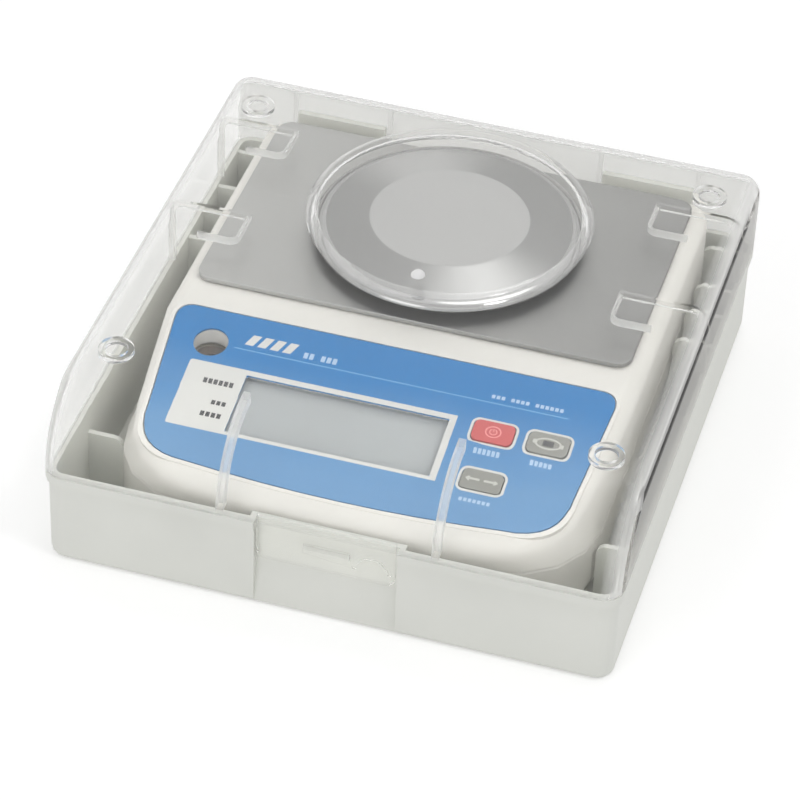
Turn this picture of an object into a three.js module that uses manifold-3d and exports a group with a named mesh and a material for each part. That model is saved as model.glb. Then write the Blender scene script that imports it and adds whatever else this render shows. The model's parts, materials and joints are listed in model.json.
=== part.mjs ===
// A compact precision balance stored in its carrying case.
// The balance lies in a shallow plastic tray, and a clear hinged lid closes over it.
// Millimetres, +Z up, +X to the right and +Y to the back as its user faces it.
// The origin is on the surface that the case stands on, under the middle of the case.
import * as THREE from "three";
import { mergeVertices } from "three/addons/utils/BufferGeometryUtils.js";
import Module from "manifold-3d";

const wasm = await Module();
wasm.setup();

// Clearances shared by every seat and running fit
const SEAT_GAP = 0.3; // between pieces that rest on, or sit beside, each other
const OVERRUN = 0.8; // how far a cut runs past the surface that it opens
const WELD = 0.0005; // corners nearer than this are one corner
const LEAST_RADIUS = 0.4; // an inset corner never gets sharper than this
const LEAST_STEP = 0.05; // outlines of a shell lie at least this far apart in height

// Carrying case: overall
const CASE_CORNER = 5;
const TRAY_HEIGHT = 29.8;
const SIDE_ROOM = 10.2; // between the housing and the tray's side wall
const REAR_ROOM = 4.15;
const FRONT_ROOM = 3.75;

// Carrying case: tray
const TRAY_WALL = 2;
const TRAY_FLOOR = 2;
const TRAY_EDGE_RADIUS = 2.4;
const REST_HEIGHT = 1; // of the round rests on the tray's floor, under the balance's feet
const REST_RADIUS = 6.5;
const RIM_LIP_HEIGHT = 3;
const RIM_LIP_PROUD = 0.9;
const NOTCH_WIDTH = 40;
const NOTCH_DEPTH = 2.4;
const NOTCH_WALL = 1.6;
const NOTCH_BUMP_WIDTH = 11;
const NOTCH_BUMP_HEIGHT = 1.4;
const NOTCH_BUMP_PROUD = 0.25;
const NOTCH_FLAT = 13.6; // from the rim down to where the notch starts to slope out
const TRAY_RIB_THICKNESS = 1.6;
const TRAY_RIB_ROUND = 3;
// Each rib's place is measured in from the housing's back or front, its drop from the rim down.
const REAR_RIBS = [
  { fromBack: 1.6, drop: 0.8 },
  { fromBack: 20.1, drop: 0.8 },
  { fromBack: 32.6, drop: 0.8 },
  { fromBack: 46.6, drop: 0.8 },
];
const FRONT_RIB = { fromFront: 23.8, drop: 7.9 };
const UPSTAND_WIDTH = 27;
const UPSTAND_OUT = 47; // from the case's centre line to the middle of an upstand
const UPSTAND_THICKNESS = 1.8;
const UPSTAND_DROP = 0.5; // from the balance's deck down to an upstand's top

// Carrying case: clear lid
const LID_WALL = 1.8;
const LID_SEAM = 0.3; // gap between the tray's rim and the lid
const LID_FRONT_RADIUS = 25;
const LID_CORNER_GROWTH = 9; // how much rounder the front corners get towards the roof
const LID_EDGE_RADIUS = 6;
const DOME_SIDE_ROOM = 0.5; // between the pan and the dome
const DOME_TOP_ROOM = 1.6;
const DOME_HEIGHT = 2.5;
const DOME_SHOULDER = 2.7;
const STACK_RING_RADIUS = 4.9;
const STACK_RING_BORE = 3.2;
const STACK_RING_HEIGHT = 1.5;
const STACK_RING_SIDE_INSET = 12.4;
const STACK_RING_FRONT_INSET = 28;
const STACK_RING_BACK_INSET = 19.2;
const GATE_RADIUS = 2.25;
const GATE_OUT = 32.5; // in front of the pan's centre
const FIN_OUT = 30;
const FIN_THICKNESS = 2;
const FIN_DEPTH = 3.5;
const FIN_REACH = 26; // from the lid's front face back along its roof
const PAD_RIB = 1;
const PAD_INSET = 9; // from the deck plate's side edge in to a pad's inner face
const PAD_RUN = 12; // length of a pad's short front rib
const PAD_DEPTH = 13.5; // front to back
const PAD_BACKS = [27.7, -15.8]; // rear faces, from the pan's centre
const PAD_CORNER = 3;
const PAD_HEIGHT = 2; // how far a pad's ribs stand in from the lid's wall
const PAD_SKIRT_LIFT = 0.8; // from the lid's lower edge up to the end of a rear rib
const GUIDE_RIB = 1.2;
const GUIDE_RIB_DEPTH = 2;
const LATCH_TAB_REACH = 12.8; // from the tray's rim down
const LATCH_TAB_THICKNESS = 1.5;
const LATCH_TAB_SET_BACK = 0.35; // behind the tray's front face
const LATCH_TAB_CORNER = 2.5;
const LATCH_SLOT_WIDTH = 13;
const LATCH_SLOT_HEIGHT = 2.4;
const LATCH_SLOT_DROP = 6.4; // from the tray's rim down
const THUMB_ARCH_X = 13;
const THUMB_ARCH_DROP = 8.8; // from the tray's rim down
const THUMB_ARCH_RADIUS = 5.5;
const THUMB_ARCH_RIB = 1.1;
const THUMB_ARCH_PROUD = 0.6;

// Carrying case: hinge
const HINGE_OUT = 47;
const KNUCKLE_RADIUS = 2.6;
const KNUCKLE_LENGTH = 10;
const EAR_LENGTH = 4;
const PIN_RADIUS = 1.2;
const PIN_CLEARANCE = 0.1;

// Balance: housing
const HOUSING_HALF_WIDTH = 67.6;
const PANEL_RUN = 59.5; // level distance from the crease to the housing's front
const HOUSING_WALL = 2.2;
const HOUSING_FRONT_CORNER = 26;
const HOUSING_REAR_CORNER = 7;
const HOUSING_FRONT_BOW = 2;
const PANEL_TAPER = 3; // how much each side of the panel draws in from the crease to the front
const PANEL_FRONT_CORNER = 24;
const FOOT_HEIGHT = 3.2;
const PARTING_Z = 20.2;
const PARTING_GROOVE = 0.7;
const DECK_Z = 41;
const DECK_EDGE_RADIUS = 5;
const BOTTOM_EDGE_RADIUS = 2.5;
const PANEL_SLOPE = THREE.MathUtils.degToRad(13);

// Balance: panel overlay and display
const OVERLAY_SIDE_MARGIN = 4.6;
const OVERLAY_START = 0.4; // down the slope from the crease
const OVERLAY_FRONT_MARGIN = 6.75;
const OVERLAY_THICKNESS = 0.6;
const OVERLAY_RECESS = 0.7;
const OVERLAY_REAR_CORNER = 5;
const OVERLAY_FRONT_CORNER = 16;
const OVERLAY_TAPER = 2.8; // how much each side draws in towards the front
const OVERLAY_BOW = 2.2;
const PANEL_BORDER = 1.4; // of the low platform that carries the overlay
const PANEL_RISE = 0.2;
const DISPLAY_SIDE = 30.4; // from the housing's left side to the display
const DISPLAY_KEY_GAP = 7;
const DISPLAY_FROM_FRONT = 24.1; // from the overlay's front edge up to the display's middle
const DISPLAY_HEIGHT = 19.5;
const DISPLAY_RADIUS = 0.8;
const LENS_MARGIN = 0.8;
const LENS_THICKNESS = 1.4;
const LENS_DEPTH = 0.8; // from the panel's surface down to the lens
const MODULE_MARGIN = 1.1;
const MODULE_THICKNESS = 2.6;
const HOLDER_RIM = 1.5;
const HOLDER_LEDGE = 3.3;

// Balance: keys
const KEY_WIDTH = 11.4;
const KEY_HEIGHT = 6.8;
const KEY_RADIUS = 1.6;
const KEY_PROUD = 0.6;
const KEY_FLANGE = 0.7;
const KEY_FLANGE_THICKNESS = 0.8;
const KEY_STEM_RADIUS = 1.5;
const KEY_TRAVEL = 0.5;
// Places on the panel are measured from the housing's right side and the overlay's front edge.
const KEY_PLACES = {
  power_key: { fromSide: 34.1, fromFront: 32.4 },
  units_key: { fromSide: 18.7, fromFront: 32.4 },
  zero_key: { fromSide: 32.7, fromFront: 16.1 },
};
const SWITCH_SIZE = 6;
const SWITCH_BODY = 1.9;
const PLUNGER_RADIUS = 1.6;
const PLUNGER_HEIGHT = 0.6;

// Balance: boards
const BOARD_THICKNESS = 1.6;
const DISPLAY_BOARD_DEPTH = 8.6; // from the panel's surface down to the board
const DISPLAY_BOARD_LEFT_REACH = 5; // beyond the display's left edge
const DISPLAY_BOARD_SIDE_ROOM = 12;
const DISPLAY_BOARD_LENGTH = 30.6;
const DISPLAY_BOARD_FRONT_ROOM = 6.7;
const PILLAR_RADIUS = 1.9;
const PILLAR_INSET = 6.5; // in from either end of the display
const PILLAR_FRONT_ROOM = 2.2; // from a pillar to the display board's front edge
const SIDE_PILLARS = [
  { fromSide: 14.8, fromFront: 24.9 },
  { fromSide: 17.6, fromFront: 8.9 },
];
const MAIN_BOARD_HALF_WIDTH = 46;
const MAIN_BOARD_HALF_DEPTH = 12;
const MAIN_BOARD_STANDOFF = 2.6;
const STANDOFF_RADIUS = 2;
const CHIP_SIZE = 9;
const CHIP_HEIGHT = 1.5;
const PLUG_LENGTH = 14;
const PLUG_DEPTH = 5;
const PLUG_HEIGHT = 2.6;

// Balance: bubble level
const LEVEL_SIDE = 17.1; // from the housing's left side
const LEVEL_FROM_CREASE = 11.5;
const LEVEL_DEPTH = 6.8; // from the deck's height down to the level's glass
const LEVEL_WINDOW_RADIUS = 4.9;
const LEVEL_CUP_RADIUS = 5.8;
const LEVEL_CUP_WALL = 1;
const LEVEL_CUP_HEIGHT = 6.5;
const LEVEL_GLASS_THICKNESS = 1;
const LEVEL_COLLAR_WALL = 1.4;
const BUBBLE_RADIUS = 1.5;

// Balance: steel deck plate and weighing pan
const PLATE_SIDE_MARGIN = 4.6;
const PLATE_BACK_MARGIN = 4.5;
const PLATE_FRONT_MARGIN = 10.4; // from the plate to the crease where the panel starts
const PLATE_DEPTH = 80.2;
const PLATE_CORNER = 4.6;
const PLATE_HEIGHT = 1.5;
const PLATE_SHEET = 0.8;
const PLATE_HOLE_RADIUS = 5.6;
const PAN_RADIUS = 38.9;
const PAN_FLAT_RADIUS = 22.9;
const PAN_RIM_WIDTH = 3.7;
const PAN_SHEET = 0.9;
const PAN_LIFT = 3.5; // from the deck plate up to the pan's rim
const PAN_SLOPE_DROP = 1.6;
const PAN_RIM_DROP = 3.8;

// Balance: weighing cell
const SUPPORT_RADIUS = 20;
const SUPPORT_THICKNESS = 1.6;
const SUPPORT_HUB_RADIUS = 6.5;
const SUPPORT_HUB_LIFT = 0.8; // above the deck plate
const SUPPORT_WINDOW_RADIUS = 4.5;
const SUPPORT_WINDOW_OUT = 13;
const POST_RADIUS = 4;
const BRACKET_THICKNESS = 2.4;
const BRACKET_DEPTH = 16;
const BRACKET_OVERHANG = 8;
const CELL_LENGTH = 72;
const CELL_DEPTH = 12.7;
const CELL_HEIGHT = 12.7;
const CELL_BOTTOM_Z = 10;
const CELL_EYE_RADIUS = 4;
const CELL_EYE_OUT = 9;
const CELL_SLIT = 2;
const MOUNT_LENGTH = 16;
const STOP_RADIUS = 2;
const STOP_HEAD_RADIUS = 3.4;
const STOP_HEAD_HEIGHT = 1.6;
const STOP_GAP = 0.35;
const STOP_END_INSET = 6;

// Balance: batteries and adapter socket
const BATTERY_FROM_CREASE = 0.5; // to the middle of the battery bay
const DRY_CELL_RADIUS = 7.05;
const DRY_CELL_LENGTH = 49.2;
const DRY_CELL_NUB_RADIUS = 2.7;
const DRY_CELL_NUB = 1;
const BAY_WALL = 1.5;
const CONTACT_THICKNESS = 0.6;
const CONTACT_HEIGHT = 9;
const CONTACT_WIDTH = 10;
const COVER_THICKNESS = 1.8;
const COVER_GRIP_WIDTH = 14;
const COVER_GRIP_GROOVE = 0.8;
const COVER_GRIP_PITCH = 2.2;
const COVER_GRIP_COUNT = 4;
const SOCKET_X = 30;
const SOCKET_Z = 13;
const SOCKET_WIDTH = 9;
const SOCKET_HEIGHT = 11;
const SOCKET_DEPTH = 14;
const SOCKET_BORE = 2.9;
const SOCKET_PIN_RADIUS = 0.9;
const SOCKET_BORE_DEPTH = 9;
const SOCKET_WINDOW_RADIUS = 4.4;

// Balance: feet and housing screws
const FOOT_DISC_RADIUS = 7.5;
const FOOT_NOTCH_RADIUS = 1.3;
const FOOT_NOTCHES = 8;
const FOOT_PAD_RADIUS = 5.6;
const FOOT_PAD_HEIGHT = 1;
const FOOT_STUD_RADIUS = 2;
const FOOT_STUD_TOP = 14;
const FOOT_BOSS_RADIUS = 4.4;
// Feet and screws are placed in from the housing's sides and ends.
const REAR_FOOT_INSET = 11.6;
const FRONT_FOOT_SIDE_INSET = 16.6;
const FRONT_FOOT_INSET = 19;
const SCREW_SIDE_INSET = 7.6;
const REAR_SCREW_INSET = 31.6;
const FRONT_SCREW_INSET = 34;
const SCREW_RADIUS = 1.2;
const SCREW_HEAD_RADIUS = 2.5;
const SCREW_HEAD_HEIGHT = 1.5;
const SCREW_BOSS_RADIUS = 3.6;
const SCREW_BITE = 7; // how far a screw reaches into the upper housing
const SCREW_HEAD_SEAT = 6; // from the housing's bottom up to the screw's head

// Facets
const CIRCLE_STEPS = 24;
const SMALL_CIRCLE_STEPS = 12;
const CORNER_STEPS = 4;
const CURVE_STEPS = 5;
const BOW_SHARES = [0.75, 0.5, 0.25];

// Places that follow from the sizes above
const HOUSING_BACK = PLATE_DEPTH / 2 + PLATE_BACK_MARGIN; // from the pan's centre, as the next two
const CREASE = PLATE_DEPTH / 2 + PLATE_FRONT_MARGIN;
const HOUSING_FRONT = CREASE + PANEL_RUN;
const HALF_CASE = HOUSING_HALF_WIDTH + SIDE_ROOM + TRAY_WALL;
const HALF_CASE_DEPTH = (HOUSING_FRONT + FRONT_ROOM + HOUSING_BACK + REAR_ROOM) / 2 + TRAY_WALL;
const LID_BASE = TRAY_HEIGHT + LID_SEAM;
const LID_HALF_WIDTH = HALF_CASE + RIM_LIP_PROUD;
const LID_HALF_DEPTH = HALF_CASE_DEPTH + RIM_LIP_PROUD;
const BALANCE_Y = HALF_CASE_DEPTH - TRAY_WALL - REAR_ROOM - HOUSING_BACK;
const BALANCE_Z = TRAY_FLOOR + REST_HEIGHT + SEAT_GAP;
const HINGE_Y = LID_HALF_DEPTH + KNUCKLE_RADIUS + SEAT_GAP;
const HINGE_Z = TRAY_HEIGHT + LID_SEAM / 2;
const PLATE_BOTTOM = DECK_Z + SEAT_GAP;
const PLATE_TOP = PLATE_BOTTOM + PLATE_HEIGHT;
const PLATE_WIDTH = 2 * (HOUSING_HALF_WIDTH - PLATE_SIDE_MARGIN);
const PAN_TOP_Z = PLATE_TOP + PAN_LIFT + PAN_RIM_DROP;
const LID_TOP = BALANCE_Z + PAN_TOP_Z + DOME_TOP_ROOM + LID_WALL - DOME_HEIGHT;
const DOME_RADIUS = PAN_RADIUS + DOME_SIDE_ROOM + LID_WALL;
const PAD_OUT = PLATE_WIDTH / 2 - PAD_INSET;
const LATCH_TAB_BOTTOM = TRAY_HEIGHT - LATCH_TAB_REACH;
const LATCH_SLOT_Z = TRAY_HEIGHT - LATCH_SLOT_DROP;
const THUMB_ARCH_Z = TRAY_HEIGHT - THUMB_ARCH_DROP;
const OVERLAY_HALF_WIDTH = HOUSING_HALF_WIDTH - OVERLAY_SIDE_MARGIN;
const OVERLAY_END = PANEL_RUN / Math.cos(PANEL_SLOPE) - OVERLAY_FRONT_MARGIN; // down the slope
const onOverlay = ({ fromSide, fromFront }) => ({
  x: HOUSING_HALF_WIDTH - fromSide,
  down: OVERLAY_END - fromFront,
});
const KEYS = Object.fromEntries(
  Object.entries(KEY_PLACES).map(([name, place]) => [name, onOverlay(place)]),
);
const DISPLAY_LEFT = DISPLAY_SIDE - HOUSING_HALF_WIDTH;
const DISPLAY_RIGHT = KEYS.power_key.x - KEY_WIDTH / 2 - DISPLAY_KEY_GAP;
const DISPLAY_X = (DISPLAY_LEFT + DISPLAY_RIGHT) / 2;
const DISPLAY_WIDTH = DISPLAY_RIGHT - DISPLAY_LEFT;
const DISPLAY_DOWN = OVERLAY_END - DISPLAY_FROM_FRONT;
const DISPLAY_BOARD_LEFT = DISPLAY_LEFT - DISPLAY_BOARD_LEFT_REACH;
const DISPLAY_BOARD_RIGHT = HOUSING_HALF_WIDTH - DISPLAY_BOARD_SIDE_ROOM;
const DISPLAY_BOARD_BOTTOM = OVERLAY_END - DISPLAY_BOARD_FRONT_ROOM;
const DISPLAY_BOARD_TOP = DISPLAY_BOARD_BOTTOM - DISPLAY_BOARD_LENGTH;
const PILLARS = [
  { x: DISPLAY_LEFT + PILLAR_INSET, down: DISPLAY_BOARD_BOTTOM - PILLAR_FRONT_ROOM },
  { x: DISPLAY_RIGHT - PILLAR_INSET, down: DISPLAY_BOARD_BOTTOM - PILLAR_FRONT_ROOM },
  ...SIDE_PILLARS.map(onOverlay),
];
const LEVEL_X = LEVEL_SIDE - HOUSING_HALF_WIDTH;
const LEVEL_Y = -CREASE - LEVEL_FROM_CREASE;
const LEVEL_TOP_Z = DECK_Z - LEVEL_DEPTH;
const BOTTOM_INSIDE = FOOT_HEIGHT + HOUSING_WALL;
const BATTERY_Y = -CREASE - BATTERY_FROM_CREASE;
const COVER_TOP = FOOT_HEIGHT + COVER_THICKNESS;
const DRY_CELL_Z = COVER_TOP + SEAT_GAP + DRY_CELL_RADIUS;
const BAY_CEILING = DRY_CELL_Z + DRY_CELL_RADIUS + SEAT_GAP;
const BAY_TOP = BAY_CEILING + BAY_WALL;
const BAY_HALF_DEPTH = 2 * DRY_CELL_RADIUS + 1.5 * SEAT_GAP;
const BAY_HALF_LENGTH = DRY_CELL_LENGTH + DRY_CELL_NUB + 2.5 * SEAT_GAP + CONTACT_THICKNESS;
const CELL_TOP = CELL_BOTTOM_Z + CELL_HEIGHT;
const BRACKET_BOTTOM = CELL_TOP + SEAT_GAP;
const BRACKET_TOP = BRACKET_BOTTOM + BRACKET_THICKNESS;
const PAN_UNDERSIDE = PAN_TOP_Z - PAN_SHEET;
const SUPPORT_TOP = PAN_UNDERSIDE - SEAT_GAP;
const SUPPORT_BOTTOM = SUPPORT_TOP - SUPPORT_THICKNESS;
const SUPPORT_HUB_BOTTOM_Z = PLATE_TOP + SUPPORT_HUB_LIFT;
const PAN_SLOPE_RADIUS = PAN_RADIUS - PAN_RIM_WIDTH;

// Four places, two on each side, from how far in they lie from the housing's sides and ends.
function cornerPlaces(rearSideInset, rearInset, frontSideInset, frontInset) {
  const rearX = HOUSING_HALF_WIDTH - rearSideInset;
  const frontX = HOUSING_HALF_WIDTH - frontSideInset;
  return {
    rear_left: [-rearX, HOUSING_BACK - rearInset],
    rear_right: [rearX, HOUSING_BACK - rearInset],
    front_left: [-frontX, frontInset - HOUSING_FRONT],
    front_right: [frontX, frontInset - HOUSING_FRONT],
  };
}

const FOOT_PLACES = cornerPlaces(
  REAR_FOOT_INSET,
  REAR_FOOT_INSET,
  FRONT_FOOT_SIDE_INSET,
  FRONT_FOOT_INSET,
);
const SCREW_PLACES = cornerPlaces(
  SCREW_SIDE_INSET,
  REAR_SCREW_INSET,
  SCREW_SIDE_INSET,
  FRONT_SCREW_INSET,
);

// Solids from three.js geometry

// A closed body from a geometry, turned face outwards if it was built inside out.
function solidOf(form) {
  if (!form.isBufferGeometry) return form;
  const bare = new THREE.BufferGeometry();
  bare.setAttribute("position", form.getAttribute("position").clone());
  if (form.index) bare.setIndex(form.index.clone());
  const welded = mergeVertices(bare, WELD);
  const corners = welded.index.array;
  const places = welded.getAttribute("position");
  const [a, b, c] = [new THREE.Vector3(), new THREE.Vector3(), new THREE.Vector3()];
  const triangles = [];
  let volume = 0;
  for (let i = 0; i < corners.length; i += 3) {
    const [p, q, r] = corners.slice(i, i + 3);
    if (p === q || q === r || r === p) continue;
    a.fromBufferAttribute(places, p);
    b.fromBufferAttribute(places, q);
    c.fromBufferAttribute(places, r);
    volume += a.dot(b.clone().cross(c));
    triangles.push(p, q, r);
  }
  if (volume < 0) triangles.reverse();
  return new wasm.Manifold(
    new wasm.Mesh({
      numProp: 3,
      vertProperties: new Float32Array(places.array),
      triVerts: new Uint32Array(triangles),
    }),
  );
}

function geometryOf(form) {
  const mesh = solidOf(form).getMesh();
  const geometry = new THREE.BufferGeometry();
  geometry.setAttribute("position", new THREE.BufferAttribute(mesh.vertProperties, 3));
  geometry.setIndex(new THREE.BufferAttribute(mesh.triVerts, 1));
  const flat = geometry.toNonIndexed();
  flat.computeVertexNormals();
  return flat;
}

const join = (...forms) => forms.map(solidOf).reduce((a, b) => a.add(b));
const cut = (form, ...tools) => tools.map(solidOf).reduce((a, b) => a.subtract(b), solidOf(form));
const common = (a, b) => solidOf(a).intersect(solidOf(b));

function block(x0, x1, y0, y1, z0, z1) {
  const box = new THREE.BoxGeometry(x1 - x0, y1 - y0, z1 - z0);
  return box.translate((x0 + x1) / 2, (y0 + y1) / 2, (z0 + z1) / 2);
}

// A round bar along Z.
function drum(x, y, radius, z0, z1, steps = SMALL_CIRCLE_STEPS) {
  const bar = new THREE.CylinderGeometry(radius, radius, z1 - z0, steps);
  return bar.rotateX(Math.PI / 2).translate(x, y, (z0 + z1) / 2);
}

// A round bar along X.
function rod(y, z, radius, x0, x1, steps = SMALL_CIRCLE_STEPS) {
  const bar = new THREE.CylinderGeometry(radius, radius, x1 - x0, steps);
  return bar.rotateZ(Math.PI / 2).translate((x0 + x1) / 2, y, z);
}

// A round bar along Y.
function bore(x, z, radius, y0, y1, steps = SMALL_CIRCLE_STEPS) {
  const bar = new THREE.CylinderGeometry(radius, radius, y1 - y0, steps);
  return bar.translate(x, (y0 + y1) / 2, z);
}

// A shape drawn in plan, raised from z0 to z1.
function prism(shape, z0, z1, steps = CORNER_STEPS) {
  const options = { depth: z1 - z0, bevelEnabled: false, curveSegments: steps };
  return new THREE.ExtrudeGeometry(shape, options).translate(0, 0, z0);
}

// A shape drawn as seen from the right, with Y across and Z up, reaching from x0 to x1.
function sidePrism(shape, x0, x1) {
  const options = { depth: x1 - x0, bevelEnabled: false, curveSegments: CORNER_STEPS };
  return new THREE.ExtrudeGeometry(shape, options)
    .rotateX(Math.PI / 2)
    .rotateZ(Math.PI / 2)
    .translate(x0, 0, 0);
}

// A shape drawn as seen from the front, with X across and Z up, reaching from y0 to y1.
function frontPrism(shape, y0, y1, steps = CORNER_STEPS) {
  const options = { depth: y1 - y0, bevelEnabled: false, curveSegments: steps };
  return new THREE.ExtrudeGeometry(shape, options).rotateX(Math.PI / 2).translate(0, y1, 0);
}

// A profile of radius and height, turned about an upright axis.
function turned(profile, x = 0, y = 0, steps = CIRCLE_STEPS) {
  const points = profile.map(([radius, height]) => new THREE.Vector2(radius, height));
  return new THREE.LatheGeometry(points, steps).rotateX(Math.PI / 2).translate(x, y, 0);
}

function roundedRectangle(x0, x1, y0, y1, radius) {
  const shape = new THREE.Shape();
  shape.absarc(x1 - radius, y1 - radius, radius, 0, Math.PI / 2);
  shape.absarc(x0 + radius, y1 - radius, radius, Math.PI / 2, Math.PI);
  shape.absarc(x0 + radius, y0 + radius, radius, Math.PI, 1.5 * Math.PI);
  shape.absarc(x1 - radius, y0 + radius, radius, 1.5 * Math.PI, 2 * Math.PI);
  return shape;
}

const centredRectangle = (x, y, width, height, radius) =>
  roundedRectangle(x - width / 2, x + width / 2, y - height / 2, y + height / 2, radius);

const mirrored = (form) => form.clone().scale(-1, 1, 1);

// Moulded shells, built from rings that lie one above the other

// The right half of a symmetrical outline in plan, from its back edge to its front edge.
// Insets draw the sides, the front and the back in; the front edge may bow forwards.
function halfOutline(plan, side, front = side, back = side) {
  const width = plan.halfWidth - side;
  const frontWidth = width - (plan.taper ?? 0);
  const backY = plan.back - back;
  const frontY = plan.front + front;
  const backRadius = Math.max(plan.backCorner - side, LEAST_RADIUS);
  const frontRadius = Math.max(plan.frontCorner - side, LEAST_RADIUS);
  const bow = plan.bow ?? 0;
  const points = [];
  for (let i = 0; i <= CORNER_STEPS; i++) {
    const angle = (Math.PI / 2) * (1 - i / CORNER_STEPS);
    points.push([
      width - backRadius + backRadius * Math.cos(angle),
      backY - backRadius + backRadius * Math.sin(angle),
    ]);
  }
  if (plan.crease !== undefined) points.push([width, plan.crease]);
  for (let i = 0; i <= CORNER_STEPS; i++) {
    const angle = (-Math.PI / 2) * (i / CORNER_STEPS);
    points.push([
      frontWidth - frontRadius + frontRadius * Math.cos(angle),
      frontY + bow + frontRadius + frontRadius * Math.sin(angle),
    ]);
  }
  for (const share of bow ? BOW_SHARES : []) {
    points.push([(frontWidth - frontRadius) * share, frontY + bow * share * share]);
  }
  return points;
}

// How far a plan reaches sideways at a place between its back and its front.
function reachAt(plan, place) {
  const points = halfOutline(plan, 0);
  const next = points.findIndex(([, y]) => y < place);
  const [[x0, y0], [x1, y1]] = [points[next - 1], points[next]];
  return x0 + ((x1 - x0) * (place - y0)) / (y1 - y0);
}

// Joins half outlines, each raised by its own height function, into one closed body.
function loft(levels) {
  const half = levels[0].points.length;
  const ring = 2 * half;
  const places = [];
  for (const { points, height } of levels) {
    for (const [x, y] of points.toReversed()) places.push(x, y, height(y));
    for (const [x, y] of points) places.push(-x, y, height(y));
  }
  const faces = [];
  const quad = (a, b, c, d) => faces.push(a, b, c, a, c, d);
  levels.slice(1).forEach((_, level) => {
    const low = level * ring;
    for (let i = 0; i < ring; i++) {
      const next = (i + 1) % ring;
      quad(low + i, low + next, low + next + ring, low + i + ring);
    }
  });
  const top = (levels.length - 1) * ring;
  for (let i = 0; i < half - 1; i++) {
    const [right, left] = [half - 1 - i, half + i];
    quad(top + left + 1, top + right - 1, top + right, top + left);
    quad(left, right, right - 1, left + 1);
  }
  const geometry = new THREE.BufferGeometry();
  geometry.setAttribute("position", new THREE.Float32BufferAttribute(places, 3));
  geometry.setIndex(faces);
  return geometry;
}

const flat = (z) => () => z;

// A quarter turn of a rounded edge as [inset, distance below the edge's top].
function roundedEdge(radius, steps = CURVE_STEPS) {
  return Array.from({ length: steps + 1 }, (_, i) => {
    const angle = (Math.PI / 2) * (i / steps);
    return [radius * (1 - Math.cos(angle)), radius * (1 - Math.sin(angle))];
  });
}

// How far a rounded edge of this radius has drawn in at height z, below a top at topZ.
function insetAt(z, topZ, radius) {
  const rise = Math.max(z - (topZ - radius), 0);
  return radius - Math.sqrt(Math.max(radius * radius - rise * rise, 0));
}

// Materials

const plastic = (color, roughness) => new THREE.MeshStandardMaterial({ color, roughness, metalness: 0 });
const metal = (color, roughness) => new THREE.MeshStandardMaterial({ color, roughness, metalness: 1 });
const clear = (color, opacity) =>
  new THREE.MeshStandardMaterial({ color, roughness: 0.05, metalness: 0, transparent: true, opacity });

function piece(parent, name, material, form) {
  const mesh = new THREE.Mesh(geometryOf(form), material);
  mesh.name = name;
  parent.add(mesh);
}

const part = new THREE.Group();
const balance = new THREE.Group(); // origin under the pan's centre, at the soles of the feet
balance.position.set(0, BALANCE_Y, BALANCE_Z);
part.add(balance);
const panel = new THREE.Group(); // origin on the crease, -Y down the slope, +Z out of the panel
panel.position.set(0, -CREASE, DECK_Z);
panel.rotation.x = PANEL_SLOPE;
balance.add(panel);
panel.updateMatrix();
const inPanel = (geometry) => geometry.applyMatrix4(panel.matrix);

// Carrying case: tray

const CASE_PLAN = {
  halfWidth: HALF_CASE,
  front: -HALF_CASE_DEPTH,
  back: HALF_CASE_DEPTH,
  frontCorner: CASE_CORNER,
  backCorner: CASE_CORNER,
};

function trayForm(inset, floorZ, topZ, edge) {
  const levels = roundedEdge(edge, CORNER_STEPS).map(([drawnIn, drop]) => ({
    points: halfOutline(CASE_PLAN, inset + drawnIn),
    height: flat(floorZ + drop),
  }));
  levels.reverse();
  levels.push({ points: halfOutline(CASE_PLAN, inset), height: flat(topZ) });
  return loft(levels);
}

function rimLip() {
  return loft(
    [TRAY_HEIGHT - RIM_LIP_HEIGHT, TRAY_HEIGHT].map((z) => ({
      points: halfOutline(CASE_PLAN, -RIM_LIP_PROUD),
      height: flat(z),
    })),
  );
}

// A locating rib from the tray's side wall to the housing, with its inner top corner rounded.
function trayRib(place, drop) {
  const rear = place + TRAY_RIB_THICKNESS / 2;
  const front = place - TRAY_RIB_THICKNESS / 2;
  const inner = Math.max(reachAt(HOUSING_PLAN, rear), reachAt(HOUSING_PLAN, front)) + 2 * SEAT_GAP;
  const outer = HALF_CASE - TRAY_WALL / 2;
  const top = TRAY_HEIGHT - drop;
  const shape = new THREE.Shape();
  shape.moveTo(inner, TRAY_FLOOR - OVERRUN);
  shape.lineTo(outer, TRAY_FLOOR - OVERRUN);
  shape.lineTo(outer, top);
  shape.absarc(inner + TRAY_RIB_ROUND, top - TRAY_RIB_ROUND, TRAY_RIB_ROUND, Math.PI / 2, Math.PI);
  return frontPrism(shape, BALANCE_Y + front, BALANCE_Y + rear);
}

function hingeBarrel(from, to, webLow, webHigh, wallY) {
  const web = block(from, to, wallY, HINGE_Y, webLow, webHigh);
  return join(rod(HINGE_Y, HINGE_Z, KNUCKLE_RADIUS, from, to, CIRCLE_STEPS), web);
}

const hingeBore = (middle) =>
  rod(
    HINGE_Y,
    HINGE_Z,
    PIN_RADIUS + PIN_CLEARANCE,
    middle - KNUCKLE_LENGTH,
    middle + KNUCKLE_LENGTH,
  );

function trayEars(middle) {
  const near = KNUCKLE_LENGTH / 2 + SEAT_GAP;
  const wallY = HALF_CASE_DEPTH - TRAY_WALL / 2;
  const ear = (from, to) => hingeBarrel(from, to, HINGE_Z - KNUCKLE_RADIUS, HINGE_Z - LID_SEAM, wallY);
  return join(
    ear(middle + near, middle + near + EAR_LENGTH),
    ear(middle - near - EAR_LENGTH, middle - near),
  );
}

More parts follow.
